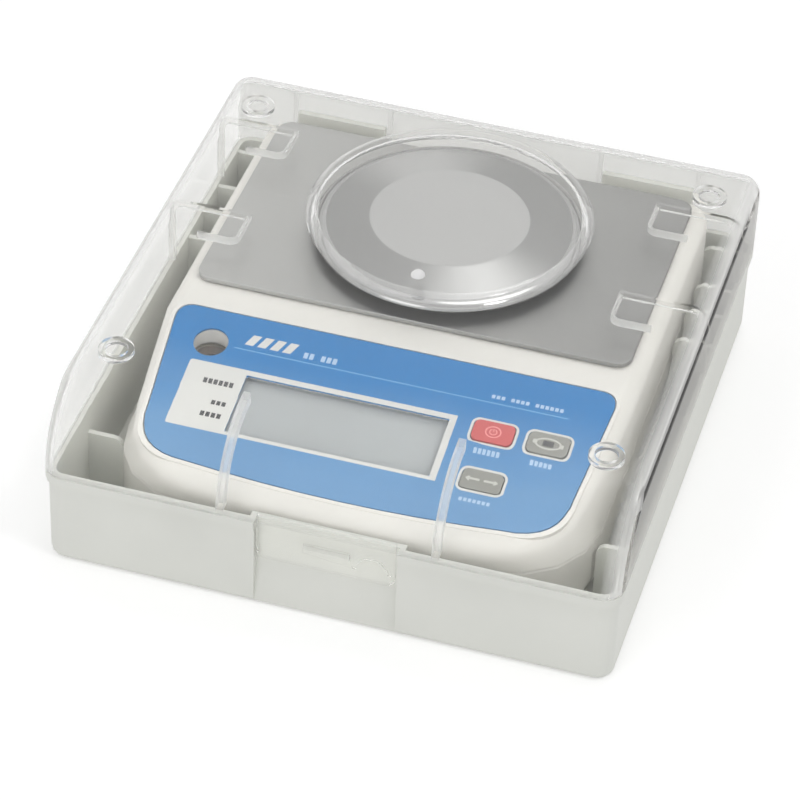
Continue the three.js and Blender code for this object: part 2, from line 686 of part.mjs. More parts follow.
function makeTray() {
  const body = join(trayForm(0, 0, TRAY_HEIGHT, TRAY_EDGE_RADIUS), rimLip());
  const hollow = trayForm(TRAY_WALL, TRAY_FLOOR, TRAY_HEIGHT + OVERRUN, LEAST_RADIUS);
  const ribs = REAR_RIBS.map(({ fromBack, drop }) => trayRib(HOUSING_BACK - fromBack, drop));
  ribs.push(trayRib(FRONT_RIB.fromFront - HOUSING_FRONT, FRONT_RIB.drop));
  const rests = Object.values(FOOT_PLACES).map(([x, y]) =>
    drum(x, BALANCE_Y + y, REST_RADIUS, TRAY_FLOOR - OVERRUN, TRAY_FLOOR + REST_HEIGHT),
  );
  const notchFront = -HALF_CASE_DEPTH;
  const notchBack = notchFront + NOTCH_DEPTH;
  const halfNotch = NOTCH_WIDTH / 2;
  const notchBacking = block(
    -halfNotch - NOTCH_WALL,
    halfNotch + NOTCH_WALL,
    notchFront + TRAY_WALL / 2,
    notchBack + NOTCH_WALL,
    TRAY_FLOOR - OVERRUN,
    TRAY_HEIGHT,
  );
  const notchShape = new THREE.Shape();
  notchShape.moveTo(notchFront - RIM_LIP_PROUD - OVERRUN, TRAY_HEIGHT + OVERRUN);
  notchShape.lineTo(notchFront - RIM_LIP_PROUD - OVERRUN, -TRAY_EDGE_RADIUS);
  notchShape.lineTo(notchFront, -TRAY_EDGE_RADIUS);
  notchShape.lineTo(notchBack, TRAY_HEIGHT - NOTCH_FLAT);
  notchShape.lineTo(notchBack, TRAY_HEIGHT + OVERRUN);
  const notch = sidePrism(notchShape, -halfNotch, halfNotch);
  const bump = block(
    -NOTCH_BUMP_WIDTH / 2,
    NOTCH_BUMP_WIDTH / 2,
    notchBack - NOTCH_BUMP_PROUD,
    notchBack + NOTCH_WALL / 2,
    LATCH_SLOT_Z - NOTCH_BUMP_HEIGHT / 2,
    LATCH_SLOT_Z + NOTCH_BUMP_HEIGHT / 2,
  );
  const upstandBack = LID_HALF_DEPTH - LID_WALL - SEAT_GAP;
  const upstands = [-1, 1].map((side) =>
    block(
      side * UPSTAND_OUT - UPSTAND_WIDTH / 2,
      side * UPSTAND_OUT + UPSTAND_WIDTH / 2,
      upstandBack - UPSTAND_THICKNESS,
      upstandBack,
      TRAY_FLOOR - OVERRUN,
      BALANCE_Z + DECK_Z - UPSTAND_DROP,
    ),
  );
  const shell = cut(body, hollow);
  const fitted = join(shell, ...ribs, ...ribs.map(mirrored), ...rests, notchBacking, ...upstands);
  const notched = join(cut(fitted, notch), bump);
  const hinged = join(notched, trayEars(HINGE_OUT), trayEars(-HINGE_OUT));
  const bored = cut(hinged, hingeBore(HINGE_OUT), hingeBore(-HINGE_OUT));
  piece(part, "case_tray", plastic(0xd4d6d0, 0.55), bored);
}

// Carrying case: clear lid

// The lid's outer form, or the same form offset inwards by inset and, at the front, by frontInset.
function lidForm(inset, baseZ, frontInset = inset) {
  const topZ = LID_TOP - inset;
  const edge = LID_EDGE_RADIUS - inset;
  const frontRadius = LID_FRONT_RADIUS - frontInset;
  const frontTop = LID_TOP - frontInset;
  const heights = new Set([baseZ]);
  for (const [, drop] of roundedEdge(frontRadius, 2 * CURVE_STEPS)) heights.add(frontTop - drop);
  for (const [, drop] of roundedEdge(edge, CORNER_STEPS)) heights.add(topZ - drop);
  const plan = {
    halfWidth: LID_HALF_WIDTH,
    front: -LID_HALF_DEPTH,
    back: LID_HALF_DEPTH,
    frontCorner: CASE_CORNER + RIM_LIP_PROUD,
    backCorner: CASE_CORNER + RIM_LIP_PROUD,
  };
  const levels = [...heights]
    .filter((z) => z >= baseZ && z <= topZ)
    .sort((a, b) => a - b)
    .filter((z, i, all) => i === 0 || z - all[i - 1] > LEAST_STEP)
    .map((z) => {
      const roofRound = insetAt(z, topZ, edge);
      const frontRound = insetAt(Math.min(z, frontTop), frontTop, frontRadius);
      const growth = (LID_CORNER_GROWTH * frontRound) / frontRadius;
      const rounder = { ...plan, frontCorner: plan.frontCorner + roofRound + growth };
      return {
        points: halfOutline(rounder, inset + roofRound, frontInset + frontRound),
        height: flat(z),
      };
    });
  return loft(levels);
}

const domeProfile = (radius, footZ, topZ, shoulder) => [
  [0, footZ],
  [radius, footZ],
  ...roundedEdge(shoulder, CORNER_STEPS)
    .map(([drawnIn, drop]) => [radius - drawnIn, topZ - drop])
    .filter(([, z]) => z > footZ),
  [0, topZ],
];

// A hold-down pad: three ribs under the roof, the rear one running on down the side wall.
function holdDownPad(backPlace) {
  const back = BALANCE_Y + backPlace;
  const front = back - PAD_DEPTH;
  const far = PAD_OUT + 2 * PAD_RUN;
  const ring = cut(
    prism(roundedRectangle(PAD_OUT, far, front, back + PAD_DEPTH, PAD_CORNER), LID_BASE, LID_TOP),
    prism(
      roundedRectangle(PAD_OUT + PAD_RIB, far, front + PAD_RIB, back + PAD_DEPTH, PAD_CORNER - PAD_RIB),
      LID_BASE - OVERRUN,
      LID_TOP + OVERRUN,
    ),
  );
  const cutOff = (x0, y0) =>
    block(x0, far + OVERRUN, y0, back + PAD_DEPTH + OVERRUN, LID_BASE - OVERRUN, LID_TOP + OVERRUN);
  const rearRib = block(
    PAD_OUT,
    LID_HALF_WIDTH,
    back - PAD_RIB,
    back,
    LID_BASE + PAD_SKIRT_LIFT,
    LID_TOP,
  );
  const open = cut(ring, cutOff(PAD_OUT + PAD_RUN, front - OVERRUN), cutOff(PAD_OUT - OVERRUN, back));
  return cut(join(open, rearRib), lidForm(LID_WALL + PAD_HEIGHT, LID_BASE - OVERRUN));
}

// The tab's outline: square where it hangs from the lid, rounded at its lower corners.
function tabShape(half, low, high) {
  const inner = half - LATCH_TAB_CORNER;
  const middle = low + LATCH_TAB_CORNER;
  const shape = new THREE.Shape();
  shape.moveTo(half, high);
  shape.lineTo(-half, high);
  shape.absarc(-inner, middle, LATCH_TAB_CORNER, Math.PI, 1.5 * Math.PI);
  shape.absarc(inner, middle, LATCH_TAB_CORNER, 1.5 * Math.PI, 2 * Math.PI);
  return shape;
}

function latchTab() {
  const outside = -HALF_CASE_DEPTH + LATCH_TAB_SET_BACK;
  const inside = outside + LATCH_TAB_THICKNESS;
  const half = NOTCH_WIDTH / 2 - 2 * SEAT_GAP;
  const shape = tabShape(half, LATCH_TAB_BOTTOM, LID_BASE + LID_WALL);
  const slot = block(
    -LATCH_SLOT_WIDTH / 2,
    LATCH_SLOT_WIDTH / 2,
    outside - OVERRUN,
    inside + OVERRUN,
    LATCH_SLOT_Z - LATCH_SLOT_HEIGHT / 2,
    LATCH_SLOT_Z + LATCH_SLOT_HEIGHT / 2,
  );
  const arch = new THREE.Shape();
  arch.absarc(THUMB_ARCH_X, THUMB_ARCH_Z, THUMB_ARCH_RADIUS, 0, Math.PI);
  arch.absarc(THUMB_ARCH_X, THUMB_ARCH_Z, THUMB_ARCH_RADIUS - THUMB_ARCH_RIB, Math.PI, 0, true);
  const grip = frontPrism(arch, outside - THUMB_ARCH_PROUD, inside, 2 * CORNER_STEPS);
  return join(cut(frontPrism(shape, outside, inside), slot), grip);
}

function makeLid() {
  const outer = lidForm(0, LID_BASE);
  const dome = turned(
    domeProfile(DOME_RADIUS, LID_TOP - LID_WALL, LID_TOP + DOME_HEIGHT, DOME_SHOULDER),
    0,
    BALANCE_Y,
    2 * CIRCLE_STEPS,
  );
  const domeHollow = turned(
    domeProfile(
      DOME_RADIUS - LID_WALL,
      LID_TOP - LID_WALL - OVERRUN,
      LID_TOP + DOME_HEIGHT - LID_WALL,
      DOME_SHOULDER - LID_WALL / 2,
    ),
    0,
    BALANCE_Y,
    2 * CIRCLE_STEPS,
  );
  const shell = cut(join(outer, dome), lidForm(LID_WALL, LID_BASE - OVERRUN), domeHollow);

  const wallMiddle = solidOf(lidForm(LID_WALL / 2, LID_BASE)); // ribs end half way into the wall
  const finDeep = lidForm(LID_WALL, LID_BASE - OVERRUN, LID_WALL + FIN_DEPTH);
  const finZone = block(
    FIN_OUT - FIN_THICKNESS / 2,
    FIN_OUT + FIN_THICKNESS / 2,
    -LID_HALF_DEPTH,
    -LID_HALF_DEPTH + FIN_REACH,
    LID_BASE,
    LID_TOP,
  );
  const fin = cut(common(finZone, wallMiddle), finDeep);
  const fins = join(fin, fin.mirror([1, 0, 0]));

  const pads = PAD_BACKS.map((place) => common(holdDownPad(place), wallMiddle));
  const bothPads = join(...pads, ...pads.map((pad) => pad.mirror([1, 0, 0])));

  const backWall = LID_HALF_DEPTH - LID_WALL / 2;
  const guideOut = UPSTAND_WIDTH / 2 + GUIDE_RIB / 2 + 2 * SEAT_GAP;
  const guides = [-1, 1].flatMap((side) =>
    [-guideOut, guideOut].map((offset) => {
      const x = side * UPSTAND_OUT + offset;
      return block(
        x - GUIDE_RIB / 2,
        x + GUIDE_RIB / 2,
        backWall - GUIDE_RIB_DEPTH,
        backWall,
        LID_BASE,
        LID_TOP - LID_WALL / 2,
      );
    }),
  );
  const fittedGuides = common(join(...guides), wallMiddle);

  const stackRings = [-1, 1].flatMap((side) =>
    [-LID_HALF_DEPTH + STACK_RING_FRONT_INSET, LID_HALF_DEPTH - STACK_RING_BACK_INSET].map((y) =>
      turned(
        [
          [STACK_RING_BORE, LID_TOP - LID_WALL / 2],
          [STACK_RING_RADIUS, LID_TOP - LID_WALL / 2],
          [STACK_RING_RADIUS, LID_TOP + STACK_RING_HEIGHT],
          [STACK_RING_BORE, LID_TOP + STACK_RING_HEIGHT],
          [STACK_RING_BORE, LID_TOP - LID_WALL / 2],
        ],
        side * (LID_HALF_WIDTH - STACK_RING_SIDE_INSET),
        y,
      ),
    ),
  );
  const gateY = BALANCE_Y - GATE_OUT;
  const gate = new THREE.SphereGeometry(GATE_RADIUS, SMALL_CIRCLE_STEPS, SMALL_CIRCLE_STEPS / 2).translate(
    0,
    gateY,
    LID_TOP + DOME_HEIGHT - LID_WALL / 3,
  );
  const gateCap = cut(
    gate,
    block(
      -GATE_RADIUS,
      GATE_RADIUS,
      gateY - GATE_RADIUS,
      gateY + GATE_RADIUS,
      LID_BASE,
      LID_TOP + DOME_HEIGHT - LID_WALL / 2,
    ),
  );

  const knuckles = [-HINGE_OUT, HINGE_OUT].map((middle) =>
    hingeBarrel(
      middle - KNUCKLE_LENGTH / 2,
      middle + KNUCKLE_LENGTH / 2,
      HINGE_Z + LID_SEAM,
      HINGE_Z + KNUCKLE_RADIUS,
      backWall,
    ),
  );
  const whole = join(shell, fins, bothPads, fittedGuides, ...stackRings, gateCap, latchTab(), ...knuckles);
  piece(part, "case_lid", clear(0xf4f6f6, 0.3), cut(whole, hingeBore(HINGE_OUT), hingeBore(-HINGE_OUT)));
}

function makeHingePins() {
  const reach = KNUCKLE_LENGTH / 2 + EAR_LENGTH;
  for (const [side, middle] of [["left", -HINGE_OUT], ["right", HINGE_OUT]]) {
    const pin = rod(HINGE_Y, HINGE_Z, PIN_RADIUS, middle - reach, middle + reach);
    piece(part, "hinge_pin_" + side, metal(0xb9babb, 0.3), pin);
  }
}

// Balance: housing

const HOUSING_PLAN = {
  halfWidth: HOUSING_HALF_WIDTH,
  front: -HOUSING_FRONT,
  back: HOUSING_BACK,
  frontCorner: HOUSING_FRONT_CORNER,
  backCorner: HOUSING_REAR_CORNER,
  bow: HOUSING_FRONT_BOW,
  crease: -CREASE,
};
const PANEL_PLAN = { ...HOUSING_PLAN, taper: PANEL_TAPER, frontCorner: PANEL_FRONT_CORNER };

const deckHeight = (y) => DECK_Z - Math.max(-CREASE - y, 0) * Math.tan(PANEL_SLOPE);

// The upper housing's form, offset inwards by inset, from baseZ up to the deck and the panel.
function upperForm(inset, baseZ) {
  const levels = [{ points: halfOutline(HOUSING_PLAN, inset), height: flat(baseZ) }];
  for (const [drawnIn, drop] of roundedEdge(DECK_EDGE_RADIUS - inset)) {
    levels.push({
      points: halfOutline(PANEL_PLAN, inset + drawnIn),
      height: (y) => deckHeight(y) - inset - drop,
    });
  }
  return loft(levels);
}

function lowerForm(inset, baseZ, topZ, edge, shoulder) {
  const levels = roundedEdge(edge, CORNER_STEPS).map(([drawnIn, drop]) => ({
    points: halfOutline(HOUSING_PLAN, inset + drawnIn),
    height: flat(baseZ + drop),
  }));
  levels.reverse();
  levels.push({ points: halfOutline(HOUSING_PLAN, inset), height: flat(topZ - shoulder) });
  if (shoulder) levels.push({ points: halfOutline(HOUSING_PLAN, inset + shoulder), height: flat(topZ) });
  return loft(levels);
}

// The overlay's outline on the panel: sides drawing in, small rear corners, large front ones.
function overlayShape(margin, rearMargin = margin) {
  const rear = -OVERLAY_START - rearMargin;
  const front = -OVERLAY_END + margin;
  const width = OVERLAY_HALF_WIDTH - margin;
  const foot = width - OVERLAY_TAPER;
  const shape = new THREE.Shape();
  shape.moveTo(-width + OVERLAY_REAR_CORNER, rear);
  shape.lineTo(width - OVERLAY_REAR_CORNER, rear);
  shape.quadraticCurveTo(width, rear, width, rear - OVERLAY_REAR_CORNER);
  shape.lineTo(foot, front + OVERLAY_BOW + OVERLAY_FRONT_CORNER);
  shape.quadraticCurveTo(foot, front + OVERLAY_BOW, foot - OVERLAY_FRONT_CORNER, front + OVERLAY_BOW);
  shape.quadraticCurveTo(0, front - OVERLAY_BOW, OVERLAY_FRONT_CORNER - foot, front + OVERLAY_BOW);
  shape.quadraticCurveTo(-foot, front + OVERLAY_BOW, -foot, front + OVERLAY_BOW + OVERLAY_FRONT_CORNER);
  shape.lineTo(-width, rear - OVERLAY_REAR_CORNER);
  shape.quadraticCurveTo(-width, rear, -width + OVERLAY_REAR_CORNER, rear);
  return shape;
}

const keyShape = ({ x, down }, margin) =>
  centredRectangle(x, -down, KEY_WIDTH + 2 * margin, KEY_HEIGHT + 2 * margin, KEY_RADIUS + margin);
const displayShape = (margin) =>
  centredRectangle(
    DISPLAY_X,
    -DISPLAY_DOWN,
    DISPLAY_WIDTH + 2 * margin,
    DISPLAY_HEIGHT + 2 * margin,
    DISPLAY_RADIUS,
  );
const levelWindow = (lowZ, highZ) => drum(LEVEL_X, LEVEL_Y, LEVEL_WINDOW_RADIUS, lowZ, highZ, CIRCLE_STEPS);

function makeUpperHousing() {
  const base = PARTING_Z + SEAT_GAP;
  const hollow = upperForm(HOUSING_WALL, base - OVERRUN);
  const platform = prism(
    overlayShape(-PANEL_BORDER, -OVERLAY_START),
    -HOUSING_WALL / 2,
    PANEL_RISE,
    2 * CORNER_STEPS,
  );
  const shell = cut(join(upperForm(0, base), inPanel(platform)), hollow);
  const collar = cut(
    drum(
      LEVEL_X,
      LEVEL_Y,
      LEVEL_CUP_RADIUS + SEAT_GAP + LEVEL_COLLAR_WALL,
      LEVEL_TOP_Z - LEVEL_CUP_HEIGHT / 2,
      DECK_Z,
      CIRCLE_STEPS,
    ),
    drum(
      LEVEL_X,
      LEVEL_Y,
      LEVEL_CUP_RADIUS + SEAT_GAP,
      LEVEL_TOP_Z - LEVEL_CUP_HEIGHT,
      LEVEL_TOP_Z + SEAT_GAP,
      CIRCLE_STEPS,
    ),
  );
  const pillars = PILLARS.map(({ x, down }) =>
    inPanel(drum(x, -down, PILLAR_RADIUS, SEAT_GAP - DISPLAY_BOARD_DEPTH, -HOUSING_WALL / 2)),
  );
  const screwBosses = Object.values(SCREW_PLACES).map(([x, y]) =>
    drum(x, y, SCREW_BOSS_RADIUS, base, DECK_Z),
  );
  const inside = common(join(collar, ...pillars, ...screwBosses), upperForm(HOUSING_WALL / 2, base));
  const cuts = [
    inPanel(prism(overlayShape(-SEAT_GAP), -OVERLAY_RECESS, HOUSING_WALL, 2 * CORNER_STEPS)),
    inPanel(prism(displayShape(LENS_MARGIN), -DISPLAY_BOARD_DEPTH / 2, HOUSING_WALL)),
    ...Object.values(KEYS).map((key) =>
      inPanel(prism(keyShape(key, SEAT_GAP), -DISPLAY_BOARD_DEPTH / 2, HOUSING_WALL)),
    ),
    levelWindow(LEVEL_TOP_Z, DECK_Z + OVERRUN),
    drum(0, 0, PLATE_HOLE_RADIUS, DECK_Z - 2 * HOUSING_WALL, DECK_Z + OVERRUN, CIRCLE_STEPS),
    ...Object.values(SCREW_PLACES).map(([x, y]) =>
      drum(x, y, SCREW_RADIUS + SEAT_GAP, base - OVERRUN, PARTING_Z + SCREW_BITE + SEAT_GAP),
    ),
  ];
  piece(balance, "upper_housing", plastic(0xe5e3de, 0.5), cut(join(shell, inside), ...cuts));
}

function batteryBay() {
  const outer = block(
    -BAY_HALF_LENGTH - BAY_WALL,
    BAY_HALF_LENGTH + BAY_WALL,
    BATTERY_Y - BAY_HALF_DEPTH - BAY_WALL,
    BATTERY_Y + BAY_HALF_DEPTH + BAY_WALL,
    FOOT_HEIGHT,
    BAY_TOP,
  );
  const standoffs = [-1, 1].flatMap((side) =>
    [-1, 1].map((end) =>
      drum(
        side * (MAIN_BOARD_HALF_WIDTH - 2 * STANDOFF_RADIUS),
        BATTERY_Y + end * (MAIN_BOARD_HALF_DEPTH - 2 * STANDOFF_RADIUS),
        STANDOFF_RADIUS,
        BAY_TOP - OVERRUN,
        BAY_TOP + MAIN_BOARD_STANDOFF,
      ),
    ),
  );
  return join(outer, ...standoffs);
}

function makeLowerHousing() {
  const shell = cut(
    lowerForm(0, FOOT_HEIGHT, PARTING_Z, BOTTOM_EDGE_RADIUS, PARTING_GROOVE),
    lowerForm(HOUSING_WALL, BOTTOM_INSIDE, PARTING_Z + OVERRUN, LEAST_RADIUS, 0),
  );
  const footBosses = Object.values(FOOT_PLACES).map(([x, y]) =>
    drum(x, y, FOOT_BOSS_RADIUS, FOOT_HEIGHT, FOOT_STUD_TOP),
  );
  const screwBosses = Object.values(SCREW_PLACES).map(([x, y]) =>
    drum(x, y, SCREW_BOSS_RADIUS, FOOT_HEIGHT, PARTING_Z),
  );
  const mountPad = block(
    -CELL_LENGTH / 2 - SEAT_GAP,
    -CELL_LENGTH / 2 + MOUNT_LENGTH + SEAT_GAP,
    -CELL_DEPTH / 2,
    CELL_DEPTH / 2,
    FOOT_HEIGHT,
    BOTTOM_INSIDE + HOUSING_WALL / 2,
  );
  const within = lowerForm(
    HOUSING_WALL / 2,
    FOOT_HEIGHT,
    BAY_TOP + MAIN_BOARD_STANDOFF,
    LEAST_RADIUS,
    0,
  );
  const inner = common(join(...footBosses, ...screwBosses, mountPad, batteryBay()), within);
  const cuts = [
    block(
      -BAY_HALF_LENGTH,
      BAY_HALF_LENGTH,
      BATTERY_Y - BAY_HALF_DEPTH,
      BATTERY_Y + BAY_HALF_DEPTH,
      FOOT_HEIGHT - OVERRUN,
      BAY_CEILING,
    ),
    ...Object.values(FOOT_PLACES).map(([x, y]) =>
      drum(x, y, FOOT_STUD_RADIUS + SEAT_GAP, FOOT_HEIGHT - OVERRUN, FOOT_STUD_TOP + OVERRUN),
    ),
    ...Object.values(SCREW_PLACES).flatMap(([x, y]) => [
      drum(x, y, SCREW_RADIUS + SEAT_GAP, FOOT_HEIGHT, PARTING_Z + OVERRUN),
      drum(x, y, SCREW_HEAD_RADIUS + SEAT_GAP, FOOT_HEIGHT - OVERRUN, FOOT_HEIGHT + SCREW_HEAD_SEAT),
    ]),
    bore(SOCKET_X, SOCKET_Z, SOCKET_WINDOW_RADIUS, HOUSING_BACK - 2 * HOUSING_WALL, HOUSING_BACK + OVERRUN),
  ];
  piece(balance, "lower_housing", plastic(0xdedcd6, 0.55), cut(join(shell, inner), ...cuts));
}

function makeHousingScrews() {
  for (const [place, [x, y]] of Object.entries(SCREW_PLACES)) {
    const headTop = FOOT_HEIGHT + SCREW_HEAD_SEAT - SEAT_GAP;
    const headBottom = headTop - SCREW_HEAD_HEIGHT;
    const screw = turned(
      [
        [0, headBottom],
        [SCREW_HEAD_RADIUS, headBottom],
        [SCREW_HEAD_RADIUS, headTop],
        [SCREW_RADIUS, headTop],
        [SCREW_RADIUS, PARTING_Z + SCREW_BITE],
        [0, PARTING_Z + SCREW_BITE],
      ],
      x,
      y,
      SMALL_CIRCLE_STEPS,
    );
    piece(balance, "housing_screw_" + place, metal(0x8f9092, 0.35), screw);
  }
}

// Balance: panel overlay, display and keys

function makeOverlay() {
  const low = SEAT_GAP - OVERLAY_RECESS;
  const high = low + OVERLAY_THICKNESS;
  const sheet = prism(overlayShape(0), low, high, 2 * CORNER_STEPS);
  const levelDown = LEVEL_FROM_CREASE / Math.cos(PANEL_SLOPE);
  const holes = [
    prism(displayShape(0), low - OVERRUN, high + OVERRUN),
    drum(LEVEL_X, -levelDown, LEVEL_WINDOW_RADIUS, low - OVERRUN, high + OVERRUN, CIRCLE_STEPS),
    ...Object.values(KEYS).map((key) => prism(keyShape(key, SEAT_GAP), low - OVERRUN, high + OVERRUN)),
  ];
  piece(panel, "panel_overlay", plastic(0x6fa3da, 0.35), cut(sheet, ...holes));
}

function makeDisplay() {
  const lensTop = -LENS_DEPTH;
  const lensBottom = lensTop - LENS_THICKNESS;
  const moduleTop = lensBottom - 2 * SEAT_GAP;
  const moduleBottom = moduleTop - MODULE_THICKNESS;
  const rimTop = lensBottom - SEAT_GAP;
  const holderBottom = SEAT_GAP - DISPLAY_BOARD_DEPTH;
  const holderOuter = MODULE_MARGIN + SEAT_GAP + HOLDER_RIM;
  piece(
    panel,
    "display_lens",
    clear(0xf2f5f5, 0.25),
    prism(displayShape(LENS_MARGIN - SEAT_GAP), lensBottom, lensTop),
  );
  piece(
    panel,
    "display_module",
    plastic(0xb6b9b6, 0.3),
    prism(displayShape(MODULE_MARGIN), moduleBottom, moduleTop),
  );
  const holder = cut(
    prism(displayShape(holderOuter), holderBottom, rimTop),
    prism(displayShape(MODULE_MARGIN + SEAT_GAP), moduleBottom - SEAT_GAP, rimTop + OVERRUN),
    prism(displayShape(-HOLDER_LEDGE), holderBottom - OVERRUN, moduleBottom),
  );
  piece(panel, "display_holder", plastic(0xf0efea, 0.6), holder);
}

function makeKeys() {
  const colours = { power_key: 0xd9686b, units_key: 0xa3a195, zero_key: 0xa3a195 };
  const flangeTop = -HOUSING_WALL - SEAT_GAP;
  const flangeBottom = flangeTop - KEY_FLANGE_THICKNESS;
  const plungerTop = -DISPLAY_BOARD_DEPTH + SEAT_GAP + SWITCH_BODY + PLUNGER_HEIGHT;
  const stemBottom = plungerTop + KEY_TRAVEL + SEAT_GAP / 3;
  for (const [name, key] of Object.entries(KEYS)) {
    const cap = join(
      prism(keyShape(key, 0), flangeTop - KEY_FLANGE_THICKNESS / 2, KEY_PROUD),
      prism(keyShape(key, KEY_FLANGE), flangeBottom, flangeTop),
      drum(key.x, -key.down, KEY_STEM_RADIUS, stemBottom, flangeBottom + KEY_FLANGE_THICKNESS / 2),
    );
    piece(panel, name, plastic(colours[name], 0.45), cap);
    const boardTop = -DISPLAY_BOARD_DEPTH + SEAT_GAP;
    const half = SWITCH_SIZE / 2;
    const tactSwitch = join(
      block(
        key.x - half,
        key.x + half,
        -key.down - half,
        -key.down + half,
        boardTop,
        boardTop + SWITCH_BODY,
      ),
      drum(key.x, -key.down, PLUNGER_RADIUS, boardTop + SWITCH_BODY / 2, plungerTop),
    );
    piece(panel, name.replace("key", "switch"), plastic(0x3b3d40, 0.5), tactSwitch);
  }
}

function makeDisplayBoard() {
  const board = block(
    DISPLAY_BOARD_LEFT,
    DISPLAY_BOARD_RIGHT,
    -DISPLAY_BOARD_BOTTOM,
    -DISPLAY_BOARD_TOP,
    -DISPLAY_BOARD_DEPTH - BOARD_THICKNESS,
    -DISPLAY_BOARD_DEPTH,
  );
  piece(panel, "display_board", plastic(0x2f6b4a, 0.5), board);
}

function makeMainBoard() {
  const bottom = BAY_TOP + MAIN_BOARD_STANDOFF + SEAT_GAP;
  const top = bottom + BOARD_THICKNESS;
  const board = block(
    -MAIN_BOARD_HALF_WIDTH,
    MAIN_BOARD_HALF_WIDTH,
    BATTERY_Y - MAIN_BOARD_HALF_DEPTH,
    BATTERY_Y + MAIN_BOARD_HALF_DEPTH,
    bottom,
    top,
  );
  const half = CHIP_SIZE / 2;
  const within = top - BOARD_THICKNESS / 2;
  const chips = [-MAIN_BOARD_HALF_WIDTH / 2, 0].map((x) =>
    block(x - half, x + half, BATTERY_Y - half, BATTERY_Y + half, within, top + CHIP_HEIGHT),
  );
  const plug = block(
    MAIN_BOARD_HALF_WIDTH / 2,
    MAIN_BOARD_HALF_WIDTH / 2 + PLUG_LENGTH,
    BATTERY_Y + MAIN_BOARD_HALF_DEPTH - PLUG_DEPTH,
    BATTERY_Y + MAIN_BOARD_HALF_DEPTH,
    within,
    top + PLUG_HEIGHT,
  );
  piece(balance, "main_board", plastic(0x2f6b4a, 0.5), join(board, ...chips, plug));
}

// Balance: bubble level, upright under its window in the sloping panel

function makeLevel() {
  const glassTop = LEVEL_TOP_Z;
  const glassBottom = glassTop - LEVEL_GLASS_THICKNESS;
  const cupTop = glassBottom - SEAT_GAP;
  const cupBottom = glassTop - LEVEL_CUP_HEIGHT;
  const inner = LEVEL_CUP_RADIUS - LEVEL_CUP_WALL;
  const cup = cut(
    drum(LEVEL_X, LEVEL_Y, LEVEL_CUP_RADIUS, cupBottom, cupTop, CIRCLE_STEPS),
    drum(LEVEL_X, LEVEL_Y, inner, cupBottom + LEVEL_CUP_WALL, cupTop + OVERRUN, CIRCLE_STEPS),
  );
  piece(balance, "level_cup", plastic(0xd8cdbd, 0.5), cup);
  const fluidTop = cupTop - SEAT_GAP / 2;
  const fluid = cut(
    drum(LEVEL_X, LEVEL_Y, inner - SEAT_GAP, cupBottom + LEVEL_CUP_WALL + SEAT_GAP, fluidTop, CIRCLE_STEPS),
    new THREE.SphereGeometry(BUBBLE_RADIUS, SMALL_CIRCLE_STEPS, SMALL_CIRCLE_STEPS / 2).translate(
      LEVEL_X,
      LEVEL_Y,
      fluidTop,
    ),
  );
  piece(balance, "level_fluid", clear(0x8a5a3a, 0.8), fluid);
  piece(
    balance,
    "level_glass",
    clear(0xf2f5f5, 0.25),
    drum(LEVEL_X, LEVEL_Y, LEVEL_CUP_RADIUS, glassBottom, glassTop, CIRCLE_STEPS),
  );
}

// Balance: deck plate, weighing pan and what carries it

function makeDeckPlate() {
  const sheetBottom = PLATE_TOP - PLATE_SHEET;
  const outline = centredRectangle(0, 0, PLATE_WIDTH, PLATE_DEPTH, PLATE_CORNER);
  const within = centredRectangle(
    0,
    0,
    PLATE_WIDTH - 2 * PLATE_SHEET,
    PLATE_DEPTH - 2 * PLATE_SHEET,
    PLATE_CORNER - PLATE_SHEET,
  );
  const plate = cut(
    prism(outline, PLATE_BOTTOM, PLATE_TOP),
    prism(within, PLATE_BOTTOM - OVERRUN, sheetBottom),
    drum(0, 0, PLATE_HOLE_RADIUS, PLATE_BOTTOM - OVERRUN, PLATE_TOP + OVERRUN, CIRCLE_STEPS),
  );
  piece(balance, "deck_plate", metal(0xaeb0b1, 0.35), plate);
}

// The pan's face: a flat middle, a gentle slope outwards, and a rim that rolls down.
function panFace() {
  const slopeEnd = PAN_TOP_Z - PAN_SLOPE_DROP;
  const rimReach = PAN_RADIUS - PAN_SLOPE_RADIUS;
  const rimDrop = PAN_RIM_DROP - PAN_SLOPE_DROP;
  const face = [
    [0, PAN_TOP_Z],
    [PAN_FLAT_RADIUS, PAN_TOP_Z],
    [PAN_SLOPE_RADIUS, slopeEnd],
  ];
  for (let i = 1; i <= CURVE_STEPS; i++) {
    const angle = (Math.PI / 2) * (i / CURVE_STEPS);
    face.push([
      PAN_SLOPE_RADIUS + rimReach * Math.sin(angle),
      slopeEnd - rimDrop * (1 - Math.cos(angle)),
    ]);
  }
  return face;
}

function makePan() {
  const face = panFace();
  const under = face
    .map(([radius, z]) => [Math.min(radius, PAN_RADIUS - PAN_SHEET), z - PAN_SHEET])
    .slice(0, -1)
    .reverse();
  const rimFoot = PAN_TOP_Z - PAN_RIM_DROP;
  const profile = [...face, [PAN_RADIUS - PAN_SHEET, rimFoot], ...under];
  piece(balance, "weighing_pan", metal(0xbdbebd, 0.3), turned(profile, 0, 0, 2 * CIRCLE_STEPS));
}

